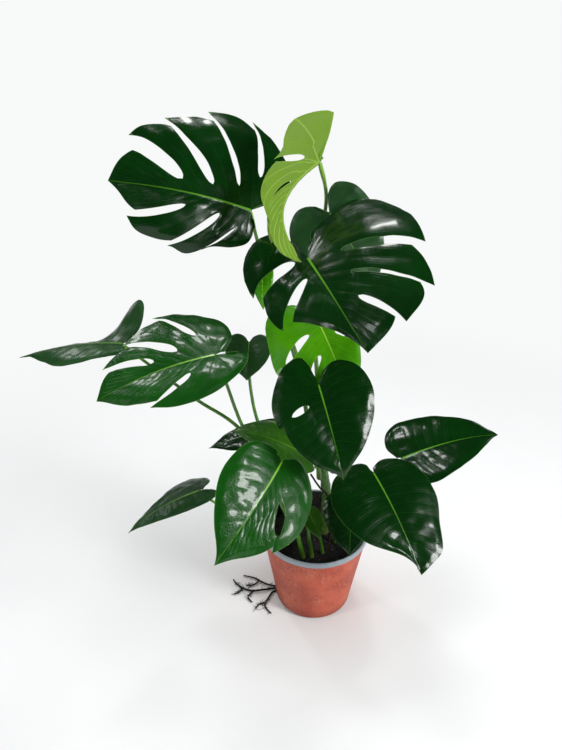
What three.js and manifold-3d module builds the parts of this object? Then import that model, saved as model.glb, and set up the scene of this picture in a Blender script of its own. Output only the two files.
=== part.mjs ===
// A potted monstera: a nursery pot with soil, a short climbing stem, aerial and drain roots,
// and leaves that each stand on a petiole of their own.
// Units are millimetres, +Z is up, and the origin is the centre of the pot's underside.

import * as THREE from 'three';
import Module from 'manifold-3d';

const wasm = await Module();
wasm.setup();

// ---- driving dimensions -------------------------------------------------------------------

const GAP = 0.3;                     // clearance between pieces that touch
const POT = {
  height: 172, rimRadius: 100, rimHeight: 11, rimStep: 3.4, wall: 1.8,
  baseRadius: 73, baseFlat: 63, baseRound: 9, floor: 2.2,
};
const DRAIN = { count: 8, radius: 66, width: 14, depth: 9, height: 5 };
const SOIL = { level: 147, dome: 5, bottomGap: 0.4 };
const BLADE = {
  thickness: 1.2,
  fanColumns: 4,                     // columns that spread from the junction into a basal lobe
  ribColumns: 10,                    // columns that leave the midrib
  rows: 6,                           // steps from the midrib out to the margin
  ribReach: 0.86,                    // the last lateral vein leaves the midrib here
  veinBow: 0.12,                     // sideways bow of a lateral vein, per length
};
const SPLIT = {
  round: 0.35,                       // share of a split's length in which it reaches full width
  mouth: 0.5,                        // its width at the margin, per greatest width
  hook: 0.7,                         // how far a lobe's hook closes the mouth from its side
  corner: 0.1,                       // how far the other lobe's corner is rounded off
  room: 0.42,                        // most of a strip that a split may take from its side
};
const SMALL_LEAF = { below: 132, fanColumns: 2, ribColumns: 5, rows: 4 };
const PETIOLE = { base: 4.6, middle: 3.3, tip: 2.2, sides: 6, steps: 9 };

// ---- colours ------------------------------------------------------------------------------

const finish = (color, roughness) => new THREE.MeshStandardMaterial({ color, roughness, metalness: 0 });
const FINISH = {
  dark: finish(0x0a2e0c, 0.3),
  mid: finish(0x174a12, 0.3),
  olive: finish(0x2f5a10, 0.4),
  lime: finish(0x4c9a14, 0.35),
  pale: finish(0x86a848, 0.5),
  back: finish(0x2c4526, 0.5),
  petiole: finish(0x4c7a22, 0.5),
  stem: finish(0x4a6a24, 0.6),
  pot: finish(0xb2492c, 0.65),
  soil: finish(0x14100d, 0.95),
  root: finish(0x1d140f, 0.85),
};

// ---- leaf blades --------------------------------------------------------------------------
// A blade is drawn in its own flat frame: u runs from the junction (0) to the tip (1) along the
// midrib and v runs outwards, both in midrib lengths. An outline goes from the sinus to the tip.
// A split follows a lateral vein: it leaves the midrib at `from`, reaches the margin at the
// fraction `at` of the outline, and is open between the fractions `open` of that vein. `width` is
// half its greatest width in midrib lengths, and `mouth` its share of that at the margin.

const HEART = [
  [-0.05, 0.04], [-0.17, 0.12], [-0.22, 0.28], [-0.1, 0.47], [0.15, 0.54],
  [0.42, 0.48], [0.7, 0.3], [0.92, 0.07], [1, 0],
];
const heart = (width, extra = {}) => ({ outline: HEART.map(([u, v]) => [u, v * width]), ...extra });
const HALF = { splits: [], fold: 10, curl: -35, lift: 0 };

const LEAVES = [
  {
    name: 'upper_left', finish: 'dark', junction: [-109, 60, 732], tip: [-298, 0, 783], roll: 50,
    right: {
      outline: [[-0.06, 0.05], [-0.21, 0.15], [-0.33, 0.27], [-0.36, 0.43], [-0.32, 0.6], [-0.17, 0.76],
        [0, 0.83], [0.22, 0.79], [0.44, 0.68], [0.65, 0.55], [0.83, 0.43], [0.93, 0.2], [1, 0]],
      splits: [
        { from: 0, at: 0.414, open: [0.35, 1], width: 0.035, mouth: 0.3 },
        { from: 0.08, at: 0.572, open: [0.2, 1], width: 0.025, mouth: 0.5 },
        { from: 0.26, at: 0.727, open: [0.15, 1], width: 0.042, mouth: 0.4 },
        { from: 0.43, at: 0.862, open: [0.22, 1], width: 0.05, mouth: 1.5 },
      ],
    },
    left: {
      outline: [[-0.03, 0.07], [-0.06, 0.15], [-0.03, 0.24], [0.08, 0.3], [0.24, 0.33], [0.44, 0.42],
        [0.55, 0.38], [0.68, 0.36], [0.82, 0.3], [0.88, 0.18], [0.93, 0.07], [1, 0]],
      splits: [
        { from: 0.02, at: 0.39, open: [0.4, 0.95], width: 0.04 },
        { from: 0.18, at: 0.58, open: [0.2, 1], width: 0.032, mouth: 0.9 },
        { from: 0.38, at: 0.83, open: [0.3, 1], width: 0.022, mouth: 1.4 },
      ],
      fold: -10, curl: -75,
    },
    petiole: [[-6, 12, 318], [-34, 46, 470], [-96, 68, 670]],
  },
  {
    name: 'upper_right', finish: 'dark', junction: [-27, -60, 693], tip: [36, -220, 629], roll: -30,
    right: {
      outline: [[-0.12, 0.02], [-0.43, 0.06], [-0.68, 0.2], [-0.64, 0.35], [-0.42, 0.47], [-0.12, 0.51],
        [0.12, 0.48], [0.35, 0.46], [0.53, 0.4], [0.62, 0.25], [0.78, 0.09], [0.92, 0.02], [1, 0]],
      splits: [
        { from: 0, at: 0.555, open: [0.2, 1], width: 0.07, mouth: 1.3 },
        { from: 0.2, at: 0.765, open: [0.2, 1], width: 0.035, mouth: 1.3 },
      ],
      curl: -60,
    },
    left: {
      outline: [[-0.06, 0.04], [-0.22, 0.11], [-0.35, 0.2], [-0.41, 0.38], [-0.45, 0.57], [-0.35, 0.7],
        [-0.15, 0.77], [0.1, 0.79], [0.34, 0.75], [0.5, 0.69], [0.7, 0.63], [0.85, 0.53], [0.93, 0.35],
        [0.97, 0.14], [1, 0]],
      splits: [
        { from: 0.08, at: 0.625, open: [0.3, 1], width: 0.045, mouth: 1 },
        { from: 0.24, at: 0.77, open: [0.3, 1], width: 0.018, mouth: 0.4 },
        { from: 0.36, at: 0.89, open: [0.4, 1], width: 0.028, mouth: 0.5 },
      ],
    },
    petiole: [[10, 20, 316], [20, 44, 470], [14, 54, 590], [6, 28, 624], [-16, -8, 668]],
  },
  {
    name: 'mid_left', finish: 'mid', junction: [-165, -20, 530], tip: [-329, -100, 495], roll: 15,
    right: {
      outline: [[-0.1, 0.03], [-0.24, 0.2], [-0.24, 0.46], [-0.02, 0.62], [0.25, 0.7], [0.6, 0.48],
        [0.85, 0.27], [0.95, 0.08], [1, 0]],
      splits: [
        { from: 0.04, at: 0.52, open: [0.35, 1], width: 0.035, mouth: 0.35 },
        { from: 0.18, at: 0.72, open: [0.25, 1], width: 0.05, mouth: 0.5 },
        { from: 0.36, at: 0.86, open: [0.3, 1], width: 0.045, mouth: 0.8 },
      ],
    },
    left: {
      outline: [[-0.1, 0.02], [-0.26, 0.06], [-0.22, 0.16], [-0.05, 0.3], [0.2, 0.4], [0.5, 0.4],
        [0.8, 0.22], [0.95, 0.05], [1, 0]],
      splits: [{ from: 0.12, at: 0.72, open: [0.35, 1], width: 0.035, mouth: 0.25 }],
      curl: -60,
    },
    petiole: [[-32, -16, 149], [-90, -6, 300], [-131, -2, 398], [-151, -4, 471]],
  },
  {
    name: 'lime_young', finish: 'lime', junction: [-3, -10, 574], tip: [39, -100, 494], roll: -20,
    right: {
      outline: [[-0.15, 0.03], [-0.4, 0.15], [-0.45, 0.45], [-0.3, 0.6], [0, 0.67], [0.43, 0.69],
        [0.75, 0.4], [0.94, 0.12], [1, 0]],
      splits: [
        { from: 0, at: 0.64, open: [0.22, 0.8], width: 0.05 },
        { from: 0.24, at: 0.8, open: [0.3, 1], width: 0.04 },
      ],
    },
    left: {
      outline: [[-0.1, 0.03], [-0.3, 0.2], [-0.2, 0.4], [0.2, 0.42], [0.58, 0.29], [0.8, 0.16],
        [0.95, 0.05], [1, 0]],
      splits: [{ from: 0.1, at: 0.6, open: [0.3, 0.95], width: 0.04 }],
    },
    petiole: [[24, 2, 300], [20, 8, 430], [6, 6, 540]],
  },
  {
    name: 'centre_round', finish: 'dark', junction: [-11, -120, 532], tip: [21, -200, 432], roll: -15,
    right: {
      outline: [[-0.12, 0.03], [-0.34, 0.1], [-0.3, 0.28], [-0.17, 0.41], [0.12, 0.54], [0.45, 0.49],
        [0.78, 0.27], [0.93, 0.06], [1, 0]],
      splits: [{ from: 0.13, at: 0.58, open: [0.3, 0.66], width: 0.035 }],
    },
    left: heart(1),
    petiole: [[4, -10, 286], [-6, -34, 390], [-12, -96, 500]],
  },
  {
    name: 'front_left', finish: 'mid', junction: [-62, -160, 432], tip: [-148, -280, 359], roll: 45,
    right: {
      outline: [[-0.02, 0.05], [-0.05, 0.16], [0.02, 0.3], [0.16, 0.38], [0.42, 0.39], [0.72, 0.23],
        [0.92, 0.04], [1, 0]],
    },
    left: {
      outline: [[-0.06, 0.03], [-0.12, 0.14], [-0.05, 0.28], [0.12, 0.41], [0.4, 0.44], [0.68, 0.32],
        [0.9, 0.08], [1, 0]],
      splits: [{ from: 0.05, at: 0.7, open: [0.38, 0.84], width: 0.05 }],
    },
    petiole: [[-24, -60, 149], [-42, -84, 270], [-57, -122, 390]],
  },
  {
    name: 'front_right', finish: 'dark', junction: [81, -100, 365], tip: [138, -220, 277], roll: -5,
    right: {
      outline: [[-0.04, 0.02], [-0.13, 0.05], [-0.14, 0.2], [-0.06, 0.42], [0.14, 0.53], [0.36, 0.51],
        [0.58, 0.39], [0.8, 0.1], [0.9, 0.02], [1, 0]],
    },
    left: {
      outline: [[-0.06, 0.02], [-0.11, 0.14], [-0.04, 0.34], [0.1, 0.44], [0.4, 0.47], [0.64, 0.38],
        [0.88, 0.27], [0.95, 0.12], [1, 0]],
    },
    petiole: [[50, -6, 149], [58, -12, 240], [76, -62, 335]],
  },
  {
    name: 'right_low', finish: 'dark', junction: [144, -20, 336], tip: [325, 40, 344], roll: -10,
    right: {
      outline: [[-0.04, 0.03], [-0.1, 0.14], [-0.06, 0.27], [0.1, 0.36], [0.25, 0.35], [0.55, 0.24],
        [0.78, 0.11], [0.93, 0.02], [1, 0]],
    },
    left: {
      outline: [[-0.04, 0.03], [-0.08, 0.16], [-0.02, 0.3], [0.13, 0.39], [0.4, 0.38], [0.64, 0.28],
        [0.86, 0.18], [0.95, 0.08], [1, 0]],
    },
    petiole: [[58, 12, 149], [84, 4, 240], [124, -14, 305]],
  },
  {
    name: 'far_left', finish: 'back', junction: [-324, 40, 522], tip: [-496, 40, 495], roll: 5,
    right: {
      outline: [[-0.05, 0.03], [-0.14, 0.2], [-0.13, 0.48], [0.03, 0.6], [0.24, 0.57], [0.38, 0.4],
        [0.6, 0.26], [0.9, 0.1], [1, 0]],
      fold: -25, lift: 62, curl: 0,
    },
    left: {
      outline: [[-0.04, 0.04], [-0.05, 0.16], [0.12, 0.26], [0.35, 0.36], [0.5, 0.36], [0.68, 0.22],
        [0.88, 0.05], [1, 0]],
      curl: -60,
    },
    petiole: [[-38, 6, 149], [-82, 8, 300], [-143, 14, 383], [-205, 26, 423], [-285, 40, 485]],
  },
  {
    name: 'back_centre', finish: 'back', junction: [-118, 80, 505], tip: [-121, 42, 452], roll: 0,
    right: heart(1.15, { fold: 20 }), left: heart(1.15, { fold: 20 }),
    petiole: [[-24, 26, 149], [-62, 22, 270], [-107, 34, 389], [-119, 66, 470]],
  },
  {
    name: 'olive_centre', finish: 'olive', junction: [-32, -40, 363], tip: [-140, -40, 405], roll: 0,
    right: heart(1.1), left: heart(0.9),
    petiole: [[-8, -60, 149], [-20, -44, 250], [-24, -41, 330]],
  },
  {
    name: 'back_left', finish: 'dark', junction: [-74, 90, 318], tip: [-199, 80, 285], roll: 5,
    right: heart(0.55), left: heart(0.7),
    petiole: [[-26, 52, 149], [-36, 68, 230], [-62, 88, 292]],
  },
  {
    name: 'low_left', finish: 'back', junction: [-200, -60, 299], tip: [-316, -100, 244], roll: -20,
    right: {
      outline: [[-0.05, 0.02], [-0.15, 0.2], [-0.08, 0.42], [0.1, 0.54], [0.3, 0.45], [0.55, 0.25],
        [0.9, 0.05], [1, 0]],
    },
    left: heart(0.35, { fold: -48, curl: -50 }),
    petiole: [[-50, -28, 149], [-90, -36, 190], [-175, -48, 262]],
  },
  {
    name: 'top_young', finish: 'pale', junction: [-9, 50, 800], tip: [-35, -85, 696], roll: -88,
    arch: 0.22,
    right: {
      outline: [[-0.01, 0.09], [-0.1, 0.14], [-0.1, 0.19], [-0.01, 0.17], [0.1, 0.07], [0.3, 0.03],
        [0.45, 0.03], [0.65, 0.07], [0.85, 0.08], [0.95, 0.05], [1, 0]],
      fold: 45, curl: 8,
    },
    left: {
      outline: [[-0.05, 0.08], [-0.18, 0.18], [-0.28, 0.27], [-0.2, 0.34], [-0.1, 0.38], [0, 0.39],
        [0.08, 0.33], [0.14, 0.26], [0.28, 0.25], [0.45, 0.22], [0.62, 0.15], [0.7, 0.12], [0.8, 0.15],
        [0.93, 0.15], [1, 0]],
      splits: [
        { from: 0, at: 0.5, open: [0.35, 1], width: 0.04, mouth: 0.7 },
        { from: 0.16, at: 0.79, open: [0.17, 1], width: 0.055, mouth: 0.4 },
      ],
      fold: 60, curl: 0,
    },
    petiole: [[6, 5, 352], [-4, 26, 480], [-14, 50, 620], [4, 60, 750]],
  },
  {
    name: 'young_hanging', finish: 'lime', junction: [-92, 25, 655], tip: [-90, 0, 596], roll: 0,
    right: heart(0.5), left: heart(0.5),
    petiole: [[2, 20, 286], [-14, 40, 420], [-62, 34, 575], [-82, 34, 625]],
  },
  {
    name: 'upper_back', finish: 'back', junction: [9, 43, 731], tip: [88, 39, 620], roll: -80,
    right: heart(1), left: heart(0.8),
    petiole: [[30, 14, 280], [42, 44, 460], [44, 64, 600], [24, 62, 690]],
  },
  {
    name: 'inner_right', finish: 'dark', junction: [56, -48, 262], tip: [52, -106, 198], roll: 0,
    right: heart(1), left: heart(0.9),
    petiole: [[36, -22, 149], [44, -28, 200], [53, -38, 238]],
  },
  {
    name: 'inner_small', finish: 'olive', junction: [-16, -66, 256], tip: [2, -98, 228], roll: 0,
    right: heart(0.75), left: heart(0.75),
    petiole: [[12, -50, 149], [4, -58, 200], [-10, -60, 238]],
  },
];

// A smooth line through `points`: at(x) runs evenly along its length as x goes from 0 to 1.
function marginLine(points) {
  const knots = points.map(([u, v]) => new THREE.Vector3(u, v, 0));
  const curve = new THREE.CatmullRomCurve3(knots, false, 'centripetal');
  curve.arcLengthDivisions = 400;
  const at = (x) => curve.getPointAt(THREE.MathUtils.clamp(x, 0, 1));
  return { at, length: curve.getLength() };
}

// The blade's frame: `along` to the tip, `side` to its right, `up` out of its upper face.
function bladeFrame(leaf) {
  const junction = new THREE.Vector3(...leaf.junction);
  const along = new THREE.Vector3(...leaf.tip).sub(junction);
  const length = along.length();
  along.normalize();
  const level = along.clone().cross(new THREE.Vector3(0, 0, 1)).normalize();
  const side = level.applyAxisAngle(along, -THREE.MathUtils.degToRad(leaf.roll));
  const up = side.clone().cross(along);
  return { junction, along, side, up, length };
}

// Bends the flat blade: the midrib arches, each half folds up from it and curls across.
function bladePoint(leaf, frame, u, v) {
  const arch = leaf.arch ?? 0.06;
  const half = { ...HALF, ...(v >= 0 ? leaf.right : leaf.left) };
  const slope = 4 * arch * (1 - 2 * Math.max(u, 0));
  const height = 4 * arch * u * (1 - Math.max(u, 0));
  const raised = THREE.MathUtils.smoothstep(0.35 - u, 0, 0.6) * half.lift;
  const fold = THREE.MathUtils.degToRad(half.fold + raised);
  const curl = THREE.MathUtils.degToRad(half.curl) + 1e-6;
  const reach = Math.abs(v);
  const across = (Math.sin(fold + curl * reach) - Math.sin(fold)) / curl;
  const lifted = (Math.cos(fold) - Math.cos(fold + curl * reach)) / curl;
  const normal = frame.up.clone().addScaledVector(frame.along, -slope).normalize();
  return frame.along.clone().multiplyScalar(u)
    .addScaledVector(frame.up, height)
    .addScaledVector(frame.side, Math.sign(v) * across)
    .addScaledVector(normal, lifted)
    .multiplyScalar(frame.length)
    .add(frame.junction);
}

// Half the width of a split at the fraction s of its vein, in midrib lengths. It is round inside,
// and at the margin it has `mouth` of its greatest width, or less beside a hooked lobe.
function opening(split, s, hooked) {
  const [start, end] = split.open;
  const t = (s - start) / (end - start);
  if (t <= 0 || (end < 1 && t >= 1)) return 0;
  if (end < 1) return split.width * Math.sqrt(Math.sin(Math.PI * t));
  const round = Math.sqrt(1 - (1 - Math.min(t / SPLIT.round, 1)) ** 2);
  const mouth = (split.mouth ?? SPLIT.mouth) * (hooked ? 1 - SPLIT.hook * t ** 4 : 1);
  return split.width * round * THREE.MathUtils.lerp(1, mouth, t ** 1.5);
}

// One half of a blade as columns of flat points. Column k of strip i runs out along a vein.
function halfGrid(half, mesh) {
  const { ribReach, veinBow } = BLADE;
  const { fanColumns, ribColumns, rows } = mesh;
  const columns = fanColumns + ribColumns;
  const margin = marginLine(half.outline);
  const startOf = (k) => (k <= fanColumns ? 0 : (ribReach * (k - fanColumns)) / ribColumns);
  const columnOf = (split) => (split.from > 0
    ? fanColumns + Math.round((split.from / ribReach) * ribColumns)
    : fanColumns - 1);
  const edges = [{ k: 0, at: 0, split: null }];
  for (const split of half.splits ?? []) {
    const k = Math.max(columnOf(split), edges[edges.length - 1].k + 2);
    const first = Math.round(split.open[0] * rows);
    const last = split.open[1] < 1 ? Math.min(Math.round(split.open[1] * rows), rows - 1) : rows + 1;
    edges.push({ k, at: split.at, split, first, last });
  }
  edges.push({ k: columns, at: 1, split: null });
  const point = (strip, k, j) => {
    const low = edges[strip];
    const high = edges[strip + 1];
    const s = j / rows;
    const q = (k - low.k) / (high.k - low.k);
    const stem = (startOf(high.k) - startOf(low.k)) * (1 - s);
    const room = SPLIT.room * (high.at - low.at + stem / (s * margin.length + 1e-6));
    const gapOf = (edge, hooked) => (edge.split && j > edge.first && j < edge.last
      ? Math.min(opening(edge.split, s, hooked) / (s * margin.length), room) : 0);
    const from = low.at + gapOf(low, false);
    const to = high.at - gapOf(high, true);
    const end = margin.at(from + q * (to - from));
    const start = new THREE.Vector3(startOf(k), 0, 0);
    const rounded = low.split ? SPLIT.corner * (1 - q) ** 3 : 0;
    const t = s * (1 - rounded * s ** 4);
    const chord = end.clone().sub(start);
    const bowed = k === columns ? 0 : veinBow * Math.min(1, (2 * k) / fanColumns);
    const bow = new THREE.Vector3(-chord.y, chord.x, 0).multiplyScalar(bowed);
    const control = start.clone().add(end).multiplyScalar(0.5).add(bow);
    return new THREE.QuadraticBezierCurve3(start, control, end).getPoint(t);
  };
  return { edges, columns, point };
}

// A closed sheet: the upper faces, the same faces turned over below, and a wall round each edge.
function bladeGeometry(leaf) {
  const frame = bladeFrame(leaf);
  const { thickness } = BLADE;
  const mesh = frame.length < SMALL_LEAF.below ? SMALL_LEAF : BLADE;
  const { fanColumns, rows } = mesh;
  const index = new Map();
  const places = [];
  const faces = [];
  const vertex = (sign, grid, strip, k, j) => {
    let key = `${sign}/${k}/${j}`;
    const edge = grid.edges.find((e) => e.k === k && e.split);
    if (edge && j > edge.first && j < edge.last) key += `/${strip}`;
    if (j === 0) key = `rib/${Math.max(k, fanColumns)}`;
    if (k === grid.columns && j > 0) key = `end/${j}`;
    if (!index.has(key)) {
      index.set(key, places.length);
      const flat = grid.point(strip, k, j);
      places.push([flat.x, sign * flat.y]);
    }
    return index.get(key);
  };
  const addFace = (sign, ring) => {
    const corners = ring.filter((id, i) => id !== ring[(i + 1) % ring.length]);
    for (let i = 1; i + 1 < corners.length; i += 1) {
      const face = [corners[0], corners[i], corners[i + 1]];
      faces.push(sign > 0 ? face : face.reverse());
    }
  };
  for (const sign of [1, -1]) {
    const grid = halfGrid(sign > 0 ? leaf.right : leaf.left, mesh);
    for (let strip = 0; strip + 1 < grid.edges.length; strip += 1) {
      for (let k = grid.edges[strip].k; k < grid.edges[strip + 1].k; k += 1) {
        for (let j = 0; j < rows; j += 1) {
          addFace(sign, [
            vertex(sign, grid, strip, k, j + 1), vertex(sign, grid, strip, k + 1, j + 1),
            vertex(sign, grid, strip, k + 1, j), vertex(sign, grid, strip, k, j),
          ]);
        }
      }
    }
  }
  const centres = places.map(([u, v]) => bladePoint(leaf, frame, u, v));
  const normals = centres.map(() => new THREE.Vector3());
  for (const [a, b, c] of faces) {
    const normal = centres[b].clone().sub(centres[a]).cross(centres[c].clone().sub(centres[a]));
    for (const id of [a, b, c]) normals[id].add(normal);
  }
  normals.forEach((normal) => normal.normalize());
  const count = centres.length;
  const top = centres.map((p, i) => p.clone().addScaledVector(normals[i], thickness / 2));
  const bottom = centres.map((p, i) => p.clone().addScaledVector(normals[i], -thickness / 2));
  const triangles = faces.flatMap(([a, b, c]) => [a, b, c, c + count, b + count, a + count]);
  const directed = new Set(faces.flatMap(([a, b, c]) => [`${a},${b}`, `${b},${c}`, `${c},${a}`]));
  for (const edge of directed) {
    const [a, b] = edge.split(',').map(Number);
    if (!directed.has(`${b},${a}`)) triangles.push(b, a, a + count, b, a + count, b + count);
  }
  return solidGeometry([...top, ...bottom], triangles);
}

// ---- plain solids -------------------------------------------------------------------------

function solidGeometry(points, triangles) {
  const geometry = new THREE.BufferGeometry();
  const values = new Float32Array(points.flatMap((p) => [p.x, p.y, p.z]));
  geometry.setAttribute('position', new THREE.BufferAttribute(values, 3));
  geometry.setIndex(triangles);
  geometry.computeVertexNormals();
  return geometry;
}

// A tube along a smooth line whose radius is read from `radii`, with a flat cap at each end.
function taperedTube(points, radii, sides, steps) {
  const curve = new THREE.CatmullRomCurve3(points, false, 'centripetal');
  const frames = curve.computeFrenetFrames(steps, false);
  const rings = [];
  for (let i = 0; i <= steps; i += 1) {
    const place = (i / steps) * (radii.length - 1);
    const below = Math.min(Math.floor(place), radii.length - 2);
    const radius = THREE.MathUtils.lerp(radii[below], radii[below + 1], place - below);
    const centre = curve.getPointAt(i / steps);
    for (let j = 0; j < sides; j += 1) {
      const angle = (2 * Math.PI * j) / sides;
      rings.push(centre.clone()
        .addScaledVector(frames.normals[i], radius * Math.cos(angle))
        .addScaledVector(frames.binormals[i], radius * Math.sin(angle)));
    }
  }
  const first = rings.length;
  rings.push(curve.getPointAt(0), curve.getPointAt(1));
  const triangles = [];
  for (let i = 0; i < steps; i += 1) {
    for (let j = 0; j < sides; j += 1) {
      const a = i * sides + j;
      const b = i * sides + ((j + 1) % sides);
      triangles.push(a, b, b + sides, a, b + sides, a + sides);
    }
  }
  for (let j = 0; j < sides; j += 1) {
    const next = (j + 1) % sides;
    triangles.push(first, next, j);
    triangles.push(first + 1, steps * sides + j, steps * sides + next);
  }
  return solidGeometry(rings, triangles);
}

function toSolid(geometry) {
  const place = geometry.getAttribute('position').array;
  const mesh = new wasm.Mesh({
    numProp: 3, vertProperties: new Float32Array(place), triVerts: new Uint32Array(geometry.getIndex().array),
  });
  mesh.merge();
  return new wasm.Manifold(mesh);
}

function fromSolid(solid) {
  const { vertProperties, triVerts } = solid.getMesh();
  const geometry = new THREE.BufferGeometry();
  geometry.setAttribute('position', new THREE.BufferAttribute(vertProperties, 3));
  geometry.setIndex(new THREE.BufferAttribute(triVerts, 1));
  geometry.computeVertexNormals();
  return geometry;
}

const vectors = (points) => points.map((p) => new THREE.Vector3(...p));

// ---- pot and soil -------------------------------------------------------------------------

const neckZ = POT.height - POT.rimHeight;
const wallRadius = (z) => THREE.MathUtils.mapLinear(
  z, POT.baseRound, neckZ, POT.baseRadius, POT.rimRadius - POT.rimStep);

function arcPoints(centreX, centreZ, radius, from, to, count) {
  const points = [];
  for (let i = 0; i <= count; i += 1) {
    const angle = THREE.MathUtils.degToRad(THREE.MathUtils.lerp(from, to, i / count));
    points.push(new THREE.Vector2(centreX + radius * Math.cos(angle), centreZ + radius * Math.sin(angle)));
  }
  return points;
}

function turned(profile, segments) {
  const geometry = new THREE.LatheGeometry(profile, segments);
  geometry.rotateX(Math.PI / 2);
  geometry.deleteAttribute('normal');
  geometry.deleteAttribute('uv');
  return geometry;
}

function potGeometry() {
  const inner = (z) => wallRadius(z) - POT.wall;
  const lip = 1.8;
  const profile = [
    new THREE.Vector2(0, 0),
    new THREE.Vector2(POT.baseFlat, 0),
    ...arcPoints(POT.baseRadius - POT.baseRound, POT.baseRound, POT.baseRound, -70, 0, 4),
    new THREE.Vector2(wallRadius(neckZ), neckZ),
    new THREE.Vector2(POT.rimRadius - 0.6, neckZ + 1),
    new THREE.Vector2(POT.rimRadius, POT.height - lip),
    ...arcPoints(POT.rimRadius - lip, POT.height - lip, lip, 30, 90, 2),
    new THREE.Vector2(inner(neckZ) + 0.6, POT.height),
    new THREE.Vector2(inner(neckZ) - 0.6, POT.height - lip),
    new THREE.Vector2(inner(neckZ) - 0.4, neckZ),
    new THREE.Vector2(inner(POT.baseRound), POT.baseRound),
    new THREE.Vector2(POT.baseFlat - 1, POT.floor),
    new THREE.Vector2(0, POT.floor),
  ];
  let pot = toSolid(turned(profile, 40));
  for (let i = 0; i < DRAIN.count; i += 1) {
    const hole = new THREE.BoxGeometry(DRAIN.depth * 2, DRAIN.width, DRAIN.height * 2);
    hole.translate(DRAIN.radius + DRAIN.depth, 0, 0);
    hole.rotateZ((2 * Math.PI * i) / DRAIN.count);
    hole.deleteAttribute('normal');
    hole.deleteAttribute('uv');
    pot = pot.subtract(toSolid(hole));
  }
  return fromSolid(pot);
}

function soilGeometry() {
  const inside = (z) => wallRadius(z) - POT.wall - GAP - 0.4;
  const bottom = POT.floor + SOIL.bottomGap;
  const profile = [
    new THREE.Vector2(0, bottom),
    new THREE.Vector2(POT.baseFlat - 4, bottom),
    new THREE.Vector2(inside(POT.baseRound) - 0.4, POT.baseRound + 1),
    new THREE.Vector2(inside(SOIL.level - SOIL.dome), SOIL.level - SOIL.dome),
    new THREE.Vector2(inside(SOIL.level) * 0.6, SOIL.level - 1),
    new THREE.Vector2(0, SOIL.level),
  ];
  return fromSolid(toSolid(turned(profile, 32)));
}

// ---- stem and roots -----------------------------------------------------------------------

const STEM = { path: [[18, 8, 149], [21, 6, 220], [13, 4, 290], [6, 4, 350]], radii: [10, 9, 8, 5] };

function rootTangle(strands) {
  let tangle = null;
  for (const { path, radii } of strands) {
    const strand = toSolid(taperedTube(vectors(path), radii, 5, 3 * (path.length - 1)));
    tangle = tangle ? tangle.add(strand) : strand;
  }
  return fromSolid(tangle);
}

const AERIAL_ROOT = [
  { path: [[-12, -22, 304], [4, -28, 280], [18, -28, 262], [26, -30, 200], [24, -28, 150]],
    radii: [1.6, 2.2, 1.8] },
  { path: [[12, -28, 271], [2, -30, 260], [-6, -32, 256]], radii: [1.4, 0.8] },
];

const DRAIN_ROOTS = {
  drain_root_back: [
    { path: [[-68, 4.7, 2.4], [-80, 6, 2.8], [-98, 12, 4], [-118, 26, 3], [-140, 32, 2.6]],
      radii: [1.8, 1.7, 1.2] },
    { path: [[-108, 18, 3.6], [-118, 8, 3], [-134, 7, 2.6]], radii: [1.5, 1.1] },
  ],
  drain_root_middle: [
    { path: [[-68, 0, 2.4], [-82, -1, 2.8], [-100, -6, 4.5], [-126, -6, 3], [-152, 10, 2.8], [-160, 22, 2.4]],
      radii: [1.9, 2, 1.3] },
    { path: [[-118, -7, 3.4], [-128, -22, 2.8], [-120, -34, 2.4]], radii: [1.6, 1.1] },
    { path: [[-140, 2, 3], [-146, -10, 2.6], [-156, -14, 2.2]], radii: [1.5, 1] },
  ],
  drain_root_front: [
    { path: [[-68, -4.7, 2.4], [-79, -9, 2.8], [-88, -26, 3.8], [-94, -44, 3], [-82, -60, 2.4]],
      radii: [1.8, 1.7, 1.2] },
    { path: [[-92, -36, 3.4], [-106, -40, 2.8], [-112, -50, 2.4]], radii: [1.5, 1] },
  ],
};

// ---- assembly -----------------------------------------------------------------------------

const group = new THREE.Group();
const plant = new THREE.Group();

function piece(parent, name, geometry, material) {
  const mesh = new THREE.Mesh(geometry, material);
  mesh.name = name;
  parent.add(mesh);
}

piece(group, 'pot', potGeometry(), FINISH.pot);
piece(group, 'soil', soilGeometry(), FINISH.soil);
piece(plant, 'stem', taperedTube(vectors(STEM.path), STEM.radii, 10, 8), FINISH.stem);
piece(plant, 'aerial_root', rootTangle(AERIAL_ROOT), FINISH.root);
for (const [name, strands] of Object.entries(DRAIN_ROOTS)) {
  piece(plant, name, rootTangle(strands), FINISH.root);
}
for (const leaf of LEAVES) {
  const frame = bladeFrame(leaf);
  const clearance = BLADE.thickness / 2 + GAP + PETIOLE.tip;
  const end = frame.junction.clone().addScaledVector(frame.up, -clearance);
  const path = [...vectors(leaf.petiole), end];
  const radii = [PETIOLE.base, PETIOLE.middle, PETIOLE.middle, PETIOLE.tip];
  const stalk = taperedTube(path, radii, PETIOLE.sides, PETIOLE.steps);
  piece(plant, `petiole_${leaf.name}`, stalk, FINISH.petiole);
  piece(plant, `leaf_${leaf.name}`, bladeGeometry(leaf), FINISH[leaf.finish]);
}
group.add(plant);

export default group;
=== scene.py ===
"""Looks for a potted monstera: glossy split leaves on long stalks, a stem, roots, soil and a nursery pot."""

import logging
import math
from collections.abc import Callable, Sequence
from dataclasses import dataclass, field
from enum import Enum

import bpy
import numpy as np
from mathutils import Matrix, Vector, noise


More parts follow.
